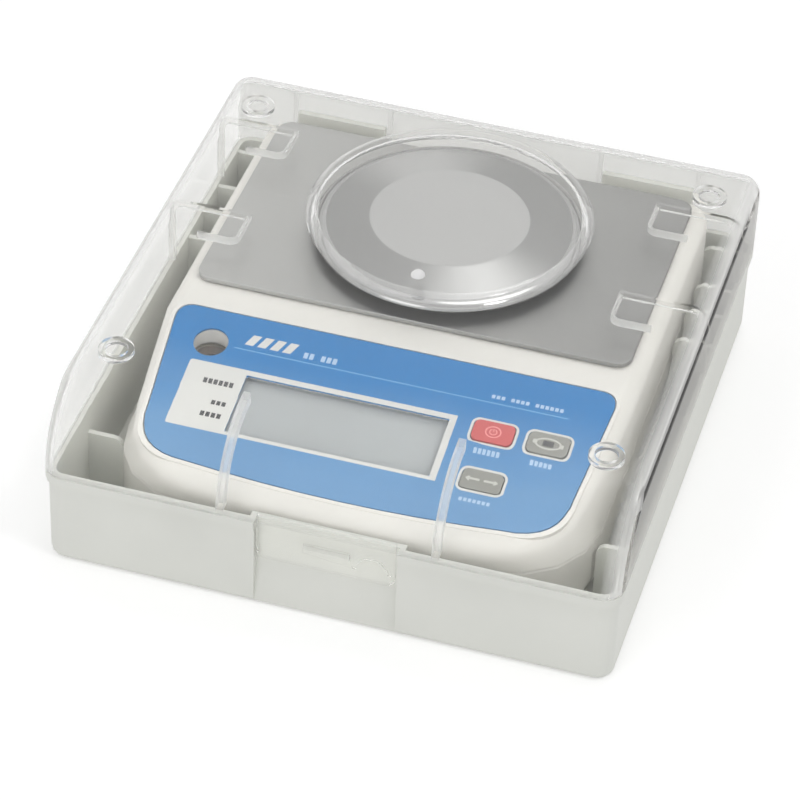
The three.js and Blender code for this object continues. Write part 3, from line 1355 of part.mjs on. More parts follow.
function makePanSupport() {
  const hub = drum(0, 0, SUPPORT_HUB_RADIUS, SUPPORT_HUB_BOTTOM_Z, SUPPORT_TOP, CIRCLE_STEPS);
  const disc = drum(0, 0, SUPPORT_RADIUS, SUPPORT_BOTTOM, SUPPORT_TOP, CIRCLE_STEPS);
  const windows = [0, 1, 2, 3].map((quarter) => {
    const angle = (Math.PI / 2) * quarter;
    return drum(
      SUPPORT_WINDOW_OUT * Math.cos(angle),
      SUPPORT_WINDOW_OUT * Math.sin(angle),
      SUPPORT_WINDOW_RADIUS,
      SUPPORT_BOTTOM - OVERRUN,
      SUPPORT_TOP + OVERRUN,
    );
  });
  const socket = drum(
    0,
    0,
    POST_RADIUS + SEAT_GAP,
    SUPPORT_HUB_BOTTOM_Z - OVERRUN,
    SUPPORT_BOTTOM,
    CIRCLE_STEPS,
  );
  piece(balance, "pan_support", metal(0x9a9c9e, 0.5), cut(join(hub, disc), ...windows, socket));
  const post = drum(0, 0, POST_RADIUS, BRACKET_TOP + SEAT_GAP, SUPPORT_BOTTOM - SEAT_GAP, CIRCLE_STEPS);
  piece(balance, "pan_post", metal(0xa9abad, 0.35), post);
}

function makeWeighingCell() {
  const halfLength = CELL_LENGTH / 2;
  const halfDepth = CELL_DEPTH / 2;
  const middleZ = CELL_BOTTOM_Z + CELL_HEIGHT / 2;
  const eyes = [-1, 1].map((side) =>
    bore(side * CELL_EYE_OUT, middleZ, CELL_EYE_RADIUS, -halfDepth - OVERRUN, halfDepth + OVERRUN),
  );
  const slit = block(
    -CELL_EYE_OUT,
    CELL_EYE_OUT,
    -halfDepth - OVERRUN,
    halfDepth + OVERRUN,
    middleZ - CELL_SLIT / 2,
    middleZ + CELL_SLIT / 2,
  );
  const bar = block(-halfLength, halfLength, -halfDepth, halfDepth, CELL_BOTTOM_Z, CELL_TOP);
  piece(balance, "load_cell", metal(0xc3c5c6, 0.4), cut(bar, ...eyes, slit));

  const padTop = BOTTOM_INSIDE + HOUSING_WALL / 2;
  const mount = block(
    -halfLength,
    -halfLength + MOUNT_LENGTH,
    -halfDepth,
    halfDepth,
    padTop + SEAT_GAP,
    CELL_BOTTOM_Z - SEAT_GAP,
  );
  piece(balance, "cell_mount", metal(0x9fa1a3, 0.5), mount);

  const bracket = block(
    -BRACKET_OVERHANG,
    halfLength,
    -BRACKET_DEPTH / 2,
    BRACKET_DEPTH / 2,
    BRACKET_BOTTOM,
    BRACKET_TOP,
  );
  piece(balance, "load_bracket", metal(0xa9abad, 0.4), bracket);

  const headTop = CELL_BOTTOM_Z - STOP_GAP;
  const headBottom = headTop - STOP_HEAD_HEIGHT;
  const stop = turned(
    [
      [0, BOTTOM_INSIDE + SEAT_GAP],
      [STOP_RADIUS, BOTTOM_INSIDE + SEAT_GAP],
      [STOP_RADIUS, headBottom],
      [STOP_HEAD_RADIUS, headBottom],
      [STOP_HEAD_RADIUS, headTop],
      [0, headTop],
    ],
    halfLength - STOP_END_INSET,
    0,
    SMALL_CIRCLE_STEPS,
  );
  piece(balance, "overload_stop", metal(0x77797c, 0.4), stop);
}

// Balance: batteries, their cover and the adapter socket

function makeBatteries() {
  const length = DRY_CELL_LENGTH;
  const rows = {
    front: BATTERY_Y - DRY_CELL_RADIUS - SEAT_GAP / 2,
    rear: BATTERY_Y + DRY_CELL_RADIUS + SEAT_GAP / 2,
  };
  const contactHigh = DRY_CELL_Z + CONTACT_HEIGHT / 2;
  const contactLow = DRY_CELL_Z - CONTACT_HEIGHT / 2;
  const contactX = BAY_HALF_LENGTH - SEAT_GAP;
  for (const [row, y] of Object.entries(rows)) {
    const facing = row === "front" ? 1 : -1; // which way the positive ends point
    for (const [end, side] of [["left", -1], ["right", 1]]) {
      const start = side < 0 ? -length - DRY_CELL_NUB - SEAT_GAP / 2 : SEAT_GAP / 2;
      const canStart = facing > 0 ? start : start + DRY_CELL_NUB;
      const can = rod(y, DRY_CELL_Z, DRY_CELL_RADIUS, canStart, canStart + length, CIRCLE_STEPS);
      const nubStart = facing > 0 ? canStart + length - DRY_CELL_NUB : canStart - DRY_CELL_NUB;
      const nub = rod(y, DRY_CELL_Z, DRY_CELL_NUB_RADIUS, nubStart, nubStart + 2 * DRY_CELL_NUB);
      piece(balance, "dry_cell_" + row + "_" + end, metal(0x3d4a5c, 0.4), join(can, nub));
    }
    piece(
      balance,
      "contact_right_" + row,
      metal(0xc9cac8, 0.3),
      block(
        contactX - CONTACT_THICKNESS,
        contactX,
        y - CONTACT_WIDTH / 2,
        y + CONTACT_WIDTH / 2,
        contactLow,
        contactHigh,
      ),
    );
  }
  piece(
    balance,
    "contact_left_link",
    metal(0xc9cac8, 0.3),
    block(
      -contactX,
      -contactX + CONTACT_THICKNESS,
      rows.front - CONTACT_WIDTH / 2,
      rows.rear + CONTACT_WIDTH / 2,
      contactLow,
      contactHigh,
    ),
  );
  const cover = block(
    -BAY_HALF_LENGTH + SEAT_GAP,
    BAY_HALF_LENGTH - SEAT_GAP,
    BATTERY_Y - BAY_HALF_DEPTH + SEAT_GAP,
    BATTERY_Y + BAY_HALF_DEPTH - SEAT_GAP,
    FOOT_HEIGHT,
    COVER_TOP,
  );
  const grooves = Array.from({ length: COVER_GRIP_COUNT }, (_, i) => {
    const y = BATTERY_Y + BAY_HALF_DEPTH / 2 + (i - COVER_GRIP_COUNT / 2) * COVER_GRIP_PITCH;
    return block(
      -COVER_GRIP_WIDTH / 2,
      COVER_GRIP_WIDTH / 2,
      y,
      y + COVER_GRIP_GROOVE,
      FOOT_HEIGHT - OVERRUN,
      FOOT_HEIGHT + COVER_GRIP_GROOVE,
    );
  });
  piece(balance, "battery_cover", plastic(0xdedcd6, 0.55), cut(cover, ...grooves));
}

function makeAdapterSocket() {
  const face = HOUSING_BACK - HOUSING_WALL - SEAT_GAP;
  const body = block(
    SOCKET_X - SOCKET_WIDTH / 2,
    SOCKET_X + SOCKET_WIDTH / 2,
    face - SOCKET_DEPTH,
    face,
    SOCKET_Z - SOCKET_HEIGHT / 2,
    SOCKET_Z + SOCKET_HEIGHT / 2,
  );
  const hollow = bore(SOCKET_X, SOCKET_Z, SOCKET_BORE, face - SOCKET_BORE_DEPTH, face + OVERRUN);
  const pin = bore(SOCKET_X, SOCKET_Z, SOCKET_PIN_RADIUS, face - SOCKET_BORE_DEPTH - OVERRUN, face);
  piece(balance, "adapter_socket", plastic(0x2b2c2e, 0.5), join(cut(body, hollow), pin));
}

// Balance: levelling feet

function makeFeet() {
  const discBottom = FOOT_PAD_HEIGHT + SEAT_GAP;
  const discTop = FOOT_HEIGHT - SEAT_GAP;
  for (const [place, [x, y]] of Object.entries(FOOT_PLACES)) {
    const notches = Array.from({ length: FOOT_NOTCHES }, (_, i) => {
      const angle = (2 * Math.PI * i) / FOOT_NOTCHES;
      return drum(
        x + FOOT_DISC_RADIUS * Math.cos(angle),
        y + FOOT_DISC_RADIUS * Math.sin(angle),
        FOOT_NOTCH_RADIUS,
        discBottom - OVERRUN,
        discTop + OVERRUN,
        SMALL_CIRCLE_STEPS / 2,
      );
    });
    const disc = cut(drum(x, y, FOOT_DISC_RADIUS, discBottom, discTop, CIRCLE_STEPS), ...notches);
    const stud = drum(x, y, FOOT_STUD_RADIUS, discBottom, FOOT_STUD_TOP);
    piece(balance, "levelling_foot_" + place, plastic(0x4b4c4e, 0.6), join(disc, stud));
    piece(
      balance,
      "foot_pad_" + place,
      plastic(0x2a2a2b, 0.9),
      drum(x, y, FOOT_PAD_RADIUS, 0, FOOT_PAD_HEIGHT, CIRCLE_STEPS / 2),
    );
  }
}

makeTray();
makeLid();
makeHingePins();
makeUpperHousing();
makeLowerHousing();
makeHousingScrews();
makeOverlay();
makeDisplay();
makeKeys();
makeDisplayBoard();
makeMainBoard();
makeLevel();
makeDeckPlate();
makePan();
makePanSupport();
makeWeighingCell();
makeBatteries();
makeAdapterSocket();
makeFeet();

export default part;
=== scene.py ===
import json
from math import cos, hypot, pi, radians, sin

import bmesh
import bpy
from mathutils import Matrix, Vector

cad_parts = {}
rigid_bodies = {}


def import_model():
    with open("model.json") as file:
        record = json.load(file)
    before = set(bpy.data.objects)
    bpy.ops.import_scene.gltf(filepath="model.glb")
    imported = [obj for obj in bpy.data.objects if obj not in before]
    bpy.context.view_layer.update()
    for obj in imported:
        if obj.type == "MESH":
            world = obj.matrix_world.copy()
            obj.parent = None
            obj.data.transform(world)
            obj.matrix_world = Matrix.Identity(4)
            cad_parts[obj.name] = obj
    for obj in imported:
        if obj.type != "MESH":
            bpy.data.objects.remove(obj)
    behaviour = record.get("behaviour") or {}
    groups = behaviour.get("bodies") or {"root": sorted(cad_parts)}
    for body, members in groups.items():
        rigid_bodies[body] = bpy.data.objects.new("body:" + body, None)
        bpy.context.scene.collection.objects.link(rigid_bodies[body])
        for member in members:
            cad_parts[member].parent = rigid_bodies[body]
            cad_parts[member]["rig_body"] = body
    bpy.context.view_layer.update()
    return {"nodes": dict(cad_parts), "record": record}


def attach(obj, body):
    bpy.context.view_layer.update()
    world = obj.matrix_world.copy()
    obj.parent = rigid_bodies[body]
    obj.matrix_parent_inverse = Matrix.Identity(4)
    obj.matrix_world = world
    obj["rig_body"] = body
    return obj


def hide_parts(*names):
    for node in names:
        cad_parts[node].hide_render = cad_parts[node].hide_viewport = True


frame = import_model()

scene = bpy.context.scene
slots = {part["node"]: part["material_slot"] for part in frame["record"]["subparts"]}
MM = 0.001

# The balance's own origin in the case: under the middle of its pan, at the foot of its feet
BALANCE_Y = 32.5
BALANCE_Z = 3.3

# Sloping panel. It starts at the crease, "down" runs along its slope and "out" away from it.
DECK_Z = 41
CREASE = 50.5
PANEL_SLOPE = radians(13)
PANEL_DOWN = Vector((0, -cos(PANEL_SLOPE), -sin(PANEL_SLOPE)))
PANEL_OUT = Vector((0, -sin(PANEL_SLOPE), cos(PANEL_SLOPE)))
OVERLAY_DEPTH = 54
OVERLAY_TOP = 0.2
KEY_TOP = 0.6
DISPLAY = {"x": -8.2, "down": 30.2, "width": 58, "height": 19.5}

# Weighing pan: flat middle, gentle slope with two bright wedges, partly a painted highlight in its
# colour, rolled rim
PAN_TOP_Z = 50.1
PAN_SHEET = 0.9
PAN_FLAT_RADIUS = 22.9
PAN_BLEND = 0.8
PAN_BLEND_STEPS = 4
PAN_SLOPE_RADIUS = 35.2
PAN_SLOPE_DROP = 1.6
PAN_RADIUS = 38.9
PAN_RIM_DROP = 3.8
PAN_RIM_STEPS = 12
PAN_STEPS_AROUND = 160
FIRST_PAINTED_HIGHLIGHT = radians(123)

# Lid: walls and roof, stacking rings, dome, gate, hold-down pads, front fins
RIM_Z = 29.8
LID_HALF_WIDTH = 80.7
LID_HALF_DEPTH = 84.15
LID_TOP = 54.3
ROOF_UNDER_Z = 52.5
LID_EDGE_RADIUS = 6
LID_SLACK = 0.1
SIDE_WALL_REACH = 3
LARGEST_DETAIL = 40  # square millimetres; larger faces belong to walls and roof
RING_X = 68.3
RING_PLACES_Y = (-56.15, 64.95)
RING_REACH = 5.2
DOME_FOOT_RADII = (36.6, 41.5)
GATE_Z = 56.86
PAD_EDGES_X = (53.6, 67)
PAD_PLACES_Y = (BALANCE_Y + 21, BALANCE_Y - 22.5)
PAD_REACH_Y = 8
PAD_EDGES_Z = (50.1, 52.45)
FIN_X = 30
FIN_REACH_X = 1.3
FIN_END_Y = -58


# Colours

def srgb(red, green, blue):
    """A linear colour from values of 0 to 255."""
    def channel(value):
        share = value / 255
        return share / 12.92 if share <= 0.04045 else ((share + 0.055) / 1.055) ** 2.4
    return (channel(red), channel(green), channel(blue), 1)


def grey(value):
    return srgb(value, value, value)


def scaled(colour, share):
    """A colour made darker or lighter, at most white."""
    return tuple(min(channel * share, 1) for channel in colour[:3]) + (1,)


# Short names for shader nodes

class Nodes:
    """The nodes of one tree. Most values can be numbers or the outputs of other nodes."""

    def __init__(self, tree):
        self.tree = tree

    def first(self, kind):
        """The node of a kind that the tree came with."""
        return next(made for made in self.tree.nodes if made.type == kind)

    def feed(self, target, inputs):
        """Sets or links the inputs of a node, which are given by name or number."""
        for socket, value in inputs.items():
            if isinstance(value, bpy.types.NodeSocket):
                self.tree.links.new(value, target.inputs[socket])
            else:
                target.inputs[socket].default_value = value

    def node(self, kind, inputs=None, **settings):
        made = self.tree.nodes.new(kind)
        for key, value in settings.items():
            setattr(made, key, value)
        self.feed(made, inputs or {})
        return made

    def math(self, operation, first, second=0.0):
        made = self.node("ShaderNodeMath", {0: first, 1: second}, operation=operation)
        return made.outputs["Value"]

    def plus(self, first, second):
        return self.math("ADD", first, second)

    def minus(self, first, second):
        return self.math("SUBTRACT", first, second)

    def times(self, first, second):
        return self.math("MULTIPLY", first, second)

    def between(self, factor, low, high, start=0.0, end=1.0):
        """A value that goes from low to high as the factor goes from start to end."""
        limits = {"From Min": start, "From Max": end, "To Min": low, "To Max": high}
        return self.node("ShaderNodeMapRange", {"Value": factor, **limits}).outputs["Result"]

    def about(self, factor, middle, reach):
        """A value that the factor sways by a reach to both sides of its middle."""
        return self.between(factor, middle - reach, middle + reach)

    def seen(self):
        """1 for rays that show things: straight, mirrored or through glass. 0 for lamp light."""
        path = self.node("ShaderNodeLightPath").outputs
        reflected = self.math("MAXIMUM", path["Is Glossy Ray"], path["Is Transmission Ray"])
        return self.math("MAXIMUM", path["Is Camera Ray"], reflected)


class Shader(Nodes):
    """A material with one principled shader, and the nodes that feed it."""

    INPUTS = {
        "colour": "Base Color",
        "roughness": "Roughness",
        "metallic": "Metallic",
        "specular": "Specular IOR Level",
        "anisotropic": "Anisotropic",
        "turned": "Anisotropic Rotation",
        "tangent": "Tangent",
        "normal": "Normal",
        "ior": "IOR",
        "transmission": "Transmission Weight",
        "alpha": "Alpha",
    }

    def __init__(self, name):
        self.material = bpy.data.materials.new(name)
        self.material.use_nodes = True
        super().__init__(self.material.node_tree)
        self.principled = self.first("BSDF_PRINCIPLED")
        self.output = self.first("OUTPUT_MATERIAL")
        self.place = self.node("ShaderNodeTexCoord").outputs["Object"]

    def set(self, **values):
        self.feed(self.principled, {self.INPUTS[key]: value for key, value in values.items()})

    def stretched(self, x, y, z):
        inputs = {"Vector": self.place, "Scale": (x, y, z)}
        return self.node("ShaderNodeMapping", inputs).outputs["Vector"]

    def separate(self):
        return self.node("ShaderNodeSeparateXYZ", {"Vector": self.place}).outputs

    def noise(self, scale, detail, roughness=0.5, vector=None):
        inputs = {"Scale": scale, "Detail": detail, "Roughness": roughness}
        inputs["Vector"] = vector or self.place
        return self.node("ShaderNodeTexNoise", inputs).outputs["Fac"]

    def facing(self):
        """0 where the surface faces the eye, 1 where it is seen edge on."""
        return self.node("ShaderNodeLayerWeight", {"Blend": 0.5}).outputs["Facing"]

    def ramp(self, factor, low, high, start=0.3, end=0.7):
        """A colour that goes from low to high as the factor goes from start to end."""
        made = self.node("ShaderNodeValToRGB", {"Fac": factor})
        for element, position, colour in zip(made.color_ramp.elements, (start, end), (low, high)):
            element.position = position
            element.color = colour
        return made.outputs["Color"]

    def tinted(self, factor, colour, spread, start=0.3, end=0.7):
        """A colour that the factor makes darker and lighter by a share."""
        return self.ramp(factor, scaled(colour, 1 - spread), scaled(colour, 1 + spread), start, end)

    def mix(self, factor, first, second):
        """A mix of two colours, whose sockets in a mix node have the numbers 6, 7 and 2."""
        made = self.node("ShaderNodeMix", data_type="RGBA")
        self.feed(made, {0: factor, 6: first, 7: second})
        return made.outputs[2]

    def bump(self, height, strength, distance):
        inputs = {"Height": height, "Strength": strength, "Distance": distance * MM}
        self.set(normal=self.node("ShaderNodeBump", inputs).outputs["Normal"])


# Kinds of material

def moulded_plastic(name, colour, roughness, grain=0.35, spread=0.025):
    """Moulded plastic: faint flow clouds in its colour and a fine spark-eroded grain."""
    shader = Shader(name)
    shader.set(
        colour=shader.tinted(shader.noise(scale=38, detail=4), colour, spread),
        roughness=shader.about(shader.noise(scale=900, detail=2), roughness, 0.06),
        specular=0.45,
    )
    marks = shader.noise(scale=2600, detail=3, roughness=0.6)
    shader.bump(marks, strength=grain, distance=0.06)
    return shader.material


def brushed_steel(name, colour, roughness, along="x", spread=0.06, grain=0.6, fade=0.0):
    """Steel sheet with fine brush lines along one direction. The grain is how far they sway the
    tone within its spread. Painted shade darkens the tone to the right, by so much for each metre."""
    shader = Shader(name)
    stretch = [30 if axis == along else 2600 for axis in "xyz"]
    lines = shader.noise(scale=1, detail=4, roughness=0.6, vector=shader.stretched(*stretch))
    x = shader.separate()[0]
    full_sway = 0.6
    # Painted shade: the tone darkens to the right
    sway = shader.plus(shader.times(lines, grain), shader.times(x, -fade))
    tone = shader.minus(sway, (grain - full_sway) / 2)
    clouds = shader.noise(scale=22, detail=3)
    shader.set(
        colour=shader.tinted(tone, colour, spread, start=0.0, end=full_sway),
        roughness=shader.between(clouds, roughness - 0.04, roughness + 0.05),
        metallic=1,
    )
    shader.bump(lines, strength=0.12, distance=0.03)
    return shader.material


def turned_steel(name, colour, roughness, painted_highlight_sectors=0.0):
    """Spun steel: fine rings about the pan's upright axis, which spread each light into two bright
    wedges. The tone can also have two wedges of painted highlight, brighter by a share, on opposite
    sides."""
    shader = Shader(name)
    x, y, _ = shader.separate()
    y = shader.minus(y, BALANCE_Y * MM)
    radius = shader.math("SQRT", shader.plus(shader.times(x, x), shader.times(y, y)))
    ray = shader.node("ShaderNodeCombineXYZ", {"X": shader.times(radius, 3000)}).outputs["Vector"]
    rings = shader.noise(scale=1, detail=3, roughness=0.6, vector=ray)
    tone = shader.tinted(rings, colour, spread=0.05)
    # Painted highlight: two opposite wedges of the colour made brighter
    if painted_highlight_sectors:
        angle = shader.minus(shader.math("ARCTAN2", y, x), FIRST_PAINTED_HIGHLIGHT)
        painted_highlight_wave = shader.math("COSINE", shader.times(angle, 2))
        share = shader.between(painted_highlight_wave, 0.0, 1.0, start=0.1, end=0.9)
        tone = shader.mix(share, tone, scaled(colour, 1 + painted_highlight_sectors))
    around = shader.node("ShaderNodeTangent", direction_type="RADIAL", axis="Z")
    shader.set(
        colour=tone,
        roughness=shader.about(shader.noise(scale=30, detail=3), roughness, 0.03),
        metallic=1,
        anisotropic=0.75,
        turned=0.25,
        tangent=around.outputs["Tangent"],
    )
    shader.bump(rings, strength=0.08, distance=0.02)
    return shader.material


def blasted_steel(name, colour, roughness):
    """Steel with an even matt finish."""
    shader = Shader(name)
    shader.set(
        colour=shader.tinted(shader.noise(scale=1500, detail=3), colour, spread=0.025),
        roughness=shader.about(shader.noise(scale=40, detail=3), roughness, 0.03),
        metallic=1,
    )
    shader.bump(shader.noise(scale=2600, detail=2), strength=0.2, distance=0.03)
    return shader.material


def painted_sheen_film(name, top, bottom, roughness):
    """Film whose blue pales down the slope as a painted sheen, with soft clouds."""
    shader = Shader(name)
    _, y, _ = shader.separate()
    down = shader.math("DIVIDE", shader.minus((BALANCE_Y - CREASE) * MM, y), OVERLAY_DEPTH * MM)
    clouds = shader.times(shader.minus(shader.noise(scale=16, detail=3), 0.5), 0.5)
    # Painted sheen: the colour pales down the slope
    shader.set(
        colour=shader.ramp(shader.plus(down, clouds), top, bottom, start=0.2, end=0.75),
        roughness=shader.about(shader.noise(scale=700, detail=2), roughness, 0.05),
        specular=0.4,
    )
    shader.bump(shader.noise(scale=2400, detail=2), strength=0.12, distance=0.04)
    return shader.material


def clear_moulding(
    name, tint, roughness, ior, veil=0.0, edge_veil=0.0, painted_edge_shade=None, border_haze=0.0
):
    """Clear moulded plastic, slightly wavy from the mould. It lets most lamp light into the case.
    The veil is the share of light that its faint haze scatters. The edge veil adds to it where a
    wall is seen edge on and the way through it is long. A painted edge shade is a darker tone
    painted where a wall is seen edge on. The border haze adds to the veil along the rounded sides
    and back of the lid."""
    shader = Shader(name)
    tone = shader.tinted(shader.noise(scale=25, detail=2), tint, spread=0.004)
    # Painted shade: a darker tone where the wall is seen edge on
    if painted_edge_shade:
        edge_on = shader.between(shader.facing(), 0.0, 1.0, start=0.3, end=0.55)
        tone = shader.mix(edge_on, tone, painted_edge_shade)
    shadow = shader.node("ShaderNodeLightPath").outputs["Is Shadow Ray"]
    let_through = shader.times(shadow, 0.88)
    shader.set(
        colour=tone,
        roughness=shader.about(shader.noise(scale=60, detail=3), roughness, roughness * 0.4),
        ior=ior,
        transmission=1 - veil,
        alpha=shader.minus(1.0, let_through),
    )
    shader.bump(shader.noise(scale=45, detail=2), strength=0.05, distance=0.1)
    if edge_veil:
        slanting = shader.math("POWER", shader.facing(), 3.0)
        clear = shader.between(slanting, 1 - veil, 1 - veil - edge_veil)
        if border_haze:
            clear = shader.minus(clear, lid_border(shader, border_haze))
        shader.set(transmission=clear)
    return shader.material


def lid_border(shader, haze):
    """The haze along the lid's rounded edges, which grows over three quarters of their radius."""
    def grown(place, outermost):
        start = (outermost - LID_EDGE_RADIUS) * MM
        end = (outermost - LID_EDGE_RADIUS / 4) * MM
        return shader.between(place, 0.0, haze, start, end)

    x, y, _ = shader.separate()
    sides = grown(shader.math("ABSOLUTE", x), LID_HALF_WIDTH)
    return shader.math("MAXIMUM", sides, grown(y, LID_HALF_DEPTH))


# Materials: those of the CAD model's slots, further finishes for lid and pan, and inks
PLASTICS = {
    "case_plastic": dict(colour=srgb(227, 228, 222), roughness=0.5, grain=0.3),
    "housing_plastic": dict(colour=srgb(234, 232, 227), roughness=0.42, grain=0.25),
    "holder_plastic": dict(colour=srgb(240, 239, 234), roughness=0.6),
    "dark_plastic": dict(colour=srgb(58, 59, 62), roughness=0.5),
    "red_key": dict(colour=srgb(208, 92, 92), roughness=0.45, grain=0.2),
    "grey_key": dict(colour=srgb(150, 150, 144), roughness=0.45, grain=0.2),
    "display_glass": dict(colour=srgb(209, 214, 217), roughness=0.25, grain=0.05, spread=0.012),
    "level_plastic": dict(colour=srgb(176, 168, 152), roughness=0.5),
    "level_liquid": dict(colour=srgb(108, 88, 76), roughness=0.2, grain=0.05),
    "circuit_board": dict(colour=srgb(44, 104, 72), roughness=0.35, grain=0.1),
    "foot_rubber": dict(colour=srgb(44, 44, 46), roughness=0.8, grain=0.5),
    "print_white": dict(colour=srgb(220, 220, 217), roughness=0.4, grain=0.1),
    "print_pale": dict(colour=srgb(176, 204, 232), roughness=0.4, grain=0.1),
    "print_dark": dict(colour=srgb(84, 84, 86), roughness=0.4, grain=0.1),
    "print_line": dict(colour=srgb(112, 176, 222), roughness=0.4, grain=0.1),
    "print_rose": dict(colour=srgb(246, 160, 158), roughness=0.4, grain=0.1),
    "print_silver": dict(colour=srgb(202, 202, 196), roughness=0.4, grain=0.1),
}
FILMS = {
    # The film's top and bottom colours hold a painted sheen
    "overlay_film": dict(top=srgb(0, 121, 190), bottom=srgb(107, 154, 199), roughness=0.4),
}
BRUSHED_STEELS = {
    # The deck plate's sheet, with painted shade that darkens it to the right
    "steel_sheet": dict(
        colour=srgb(174, 174, 173), roughness=0.45, spread=0.26, grain=0.22, fade=4.0
    ),
    "pin_steel": dict(colour=grey(190), roughness=0.3),
    "screw_steel": dict(colour=grey(160), roughness=0.35),
    "cell_alloy": dict(colour=srgb(196, 197, 199), roughness=0.4),
    "cell_can": dict(colour=srgb(62, 76, 96), roughness=0.4),
    "contact_metal": dict(colour=srgb(200, 200, 198), roughness=0.3, along="y"),
}
TURNED_STEELS = {
    # The pan's slope, with two wedges of painted highlight in its colour
    "pan_steel": dict(colour=grey(170), roughness=0.36, painted_highlight_sectors=0.3),
    "pan_rim": dict(colour=grey(190), roughness=0.14),
}
BLASTED_STEELS = {
    "pan_middle": dict(colour=grey(199), roughness=0.6),
}
CLEAR_PLASTICS = {
    "clear_window": dict(tint=(0.97, 0.975, 0.97), roughness=0.03, ior=1.49),
    "clear_lid": dict(
        tint=(0.95, 0.95, 0.94), roughness=0.06, ior=1.14,
        veil=0.02, edge_veil=0.45, border_haze=0.36,
    ),
    "thick_clear": dict(
        tint=(0.97, 0.97, 0.96), roughness=0.05, ior=1.38, veil=0.12, edge_veil=0.4
    ),
    "rib_clear": dict(tint=(0.98, 0.98, 0.97), roughness=0.2, ior=1.2, veil=0.5, edge_veil=0.2),
    "frosted_clear": dict(tint=(0.98, 0.98, 0.98), roughness=0.2, ior=1.3, veil=0.8),
    # Right side wall: clear, with painted shade where it is seen edge on
    "wall_clear": dict(
        tint=(0.95, 0.95, 0.94), roughness=0.06, ior=1.1, veil=0.02, painted_edge_shade=(0.4, 0.39, 0.37, 1)
    ),
    "thin_clear": dict(
        tint=(0.985, 0.985, 0.98), roughness=0.06, ior=1.1, veil=0.02, edge_veil=0.1
    ),
}
KINDS = (
    (moulded_plastic, PLASTICS),
    (painted_sheen_film, FILMS),
    (brushed_steel, BRUSHED_STEELS),
    (turned_steel, TURNED_STEELS),
    (blasted_steel, BLASTED_STEELS),
    (clear_moulding, CLEAR_PLASTICS),
)
materials = {name: kind(name, **look) for kind, looks in KINDS for name, look in looks.items()}

for node, target in frame["nodes"].items():
    target.data.materials.clear()
    target.data.materials.append(materials[slots[node]])


# Building pieces. Corners closer than the weld become one, and so do facets at a flatter angle.

WELD = 0.002
FLAT_ANGLE = radians(0.6)


def mesh_from(form, name):
    mesh = bpy.data.meshes.new(name)
    form.to_mesh(mesh)
    form.free()
    return mesh


def new_object(name, mesh, finish, body):
    """A piece that moves with a body, in a finish of its own."""
    made = bpy.data.objects.new(name, mesh)
    scene.collection.objects.link(made)
    mesh.materials.clear()
    mesh.materials.append(materials[finish])
    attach(made, body)
    return made


def apply_modifiers(target):
    """Bakes an object's modifiers into its mesh."""
    bpy.context.view_layer.update()
    graph = bpy.context.evaluated_depsgraph_get()
    baked = bpy.data.meshes.new_from_object(target.evaluated_get(graph))
    target.modifiers.clear()
    target.data = baked


def soften(target, edge=0, segments=0, angle=0):
    """Rounds an object's edges, if they get a width, and evens out its shading. Only edges that
    bend by more than the angle, in degrees, are rounded."""
    if edge:
        bevel = target.modifiers.new("edges", "BEVEL")
        bevel.width = edge * MM
        bevel.segments = segments
        bevel.limit_method = "ANGLE"
        bevel.angle_limit = radians(angle)
        bevel.miter_outer = "MITER_ARC"
    for face in target.data.polygons:
        face.use_smooth = True
    even = target.modifiers.new("normals", "WEIGHTED_NORMAL")
    even.weight = 80
    even.keep_sharp = True
    apply_modifiers(target)


def dress(node, edge, segments, angle=35):
    """A piece that stands for a CAD node: the same form with rounded edges and even shading."""
    source = frame["nodes"][node]
    form = bmesh.new()
    form.from_mesh(source.data)
    bmesh.ops.remove_doubles(form, verts=form.verts, dist=WELD * MM)
    bmesh.ops.dissolve_limit(form, angle_limit=FLAT_ANGLE, verts=form.verts, edges=form.edges)
    name = node + "_look"
    made = new_object(name, mesh_from(form, name), slots[node], source["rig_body"])
    soften(made, edge, segments, angle)
    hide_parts(node)
    return made


def finish_faces(target, finishes, finish_of):
    """Gives each face its own finish. The object already has the first one."""
    for finish in finishes[1:]:
        target.data.materials.append(materials[finish])
    for face in target.data.polygons:
        face.material_index = finishes.index(finish_of(face))


def lathe(name, profile, centre, steps):
    """A mesh turned about an upright axis, from radii and heights that start and end on it."""
    form = bmesh.new()
    rings = []
    for radius, height in profile:
        turns = [2 * pi * i / steps for i in range(steps if radius else 1)]
        rings.append([
            form.verts.new((
                (centre[0] + radius * cos(turn)) * MM,
                (centre[1] + radius * sin(turn)) * MM,
                height * MM,
            ))
            for turn in turns
        ])
    for lower, upper in zip(rings, rings[1:]):
        for i in range(steps):
            j = (i + 1) % steps
            below = [lower[i % len(lower)], lower[j % len(lower)]]
            above = [upper[j % len(upper)], upper[i % len(upper)]]
            distinct = dict.fromkeys(below + above)  # three corners where a ring is a point
            form.faces.new(list(distinct))
    bmesh.ops.recalc_face_normals(form, faces=form.faces)
    return mesh_from(form, name)


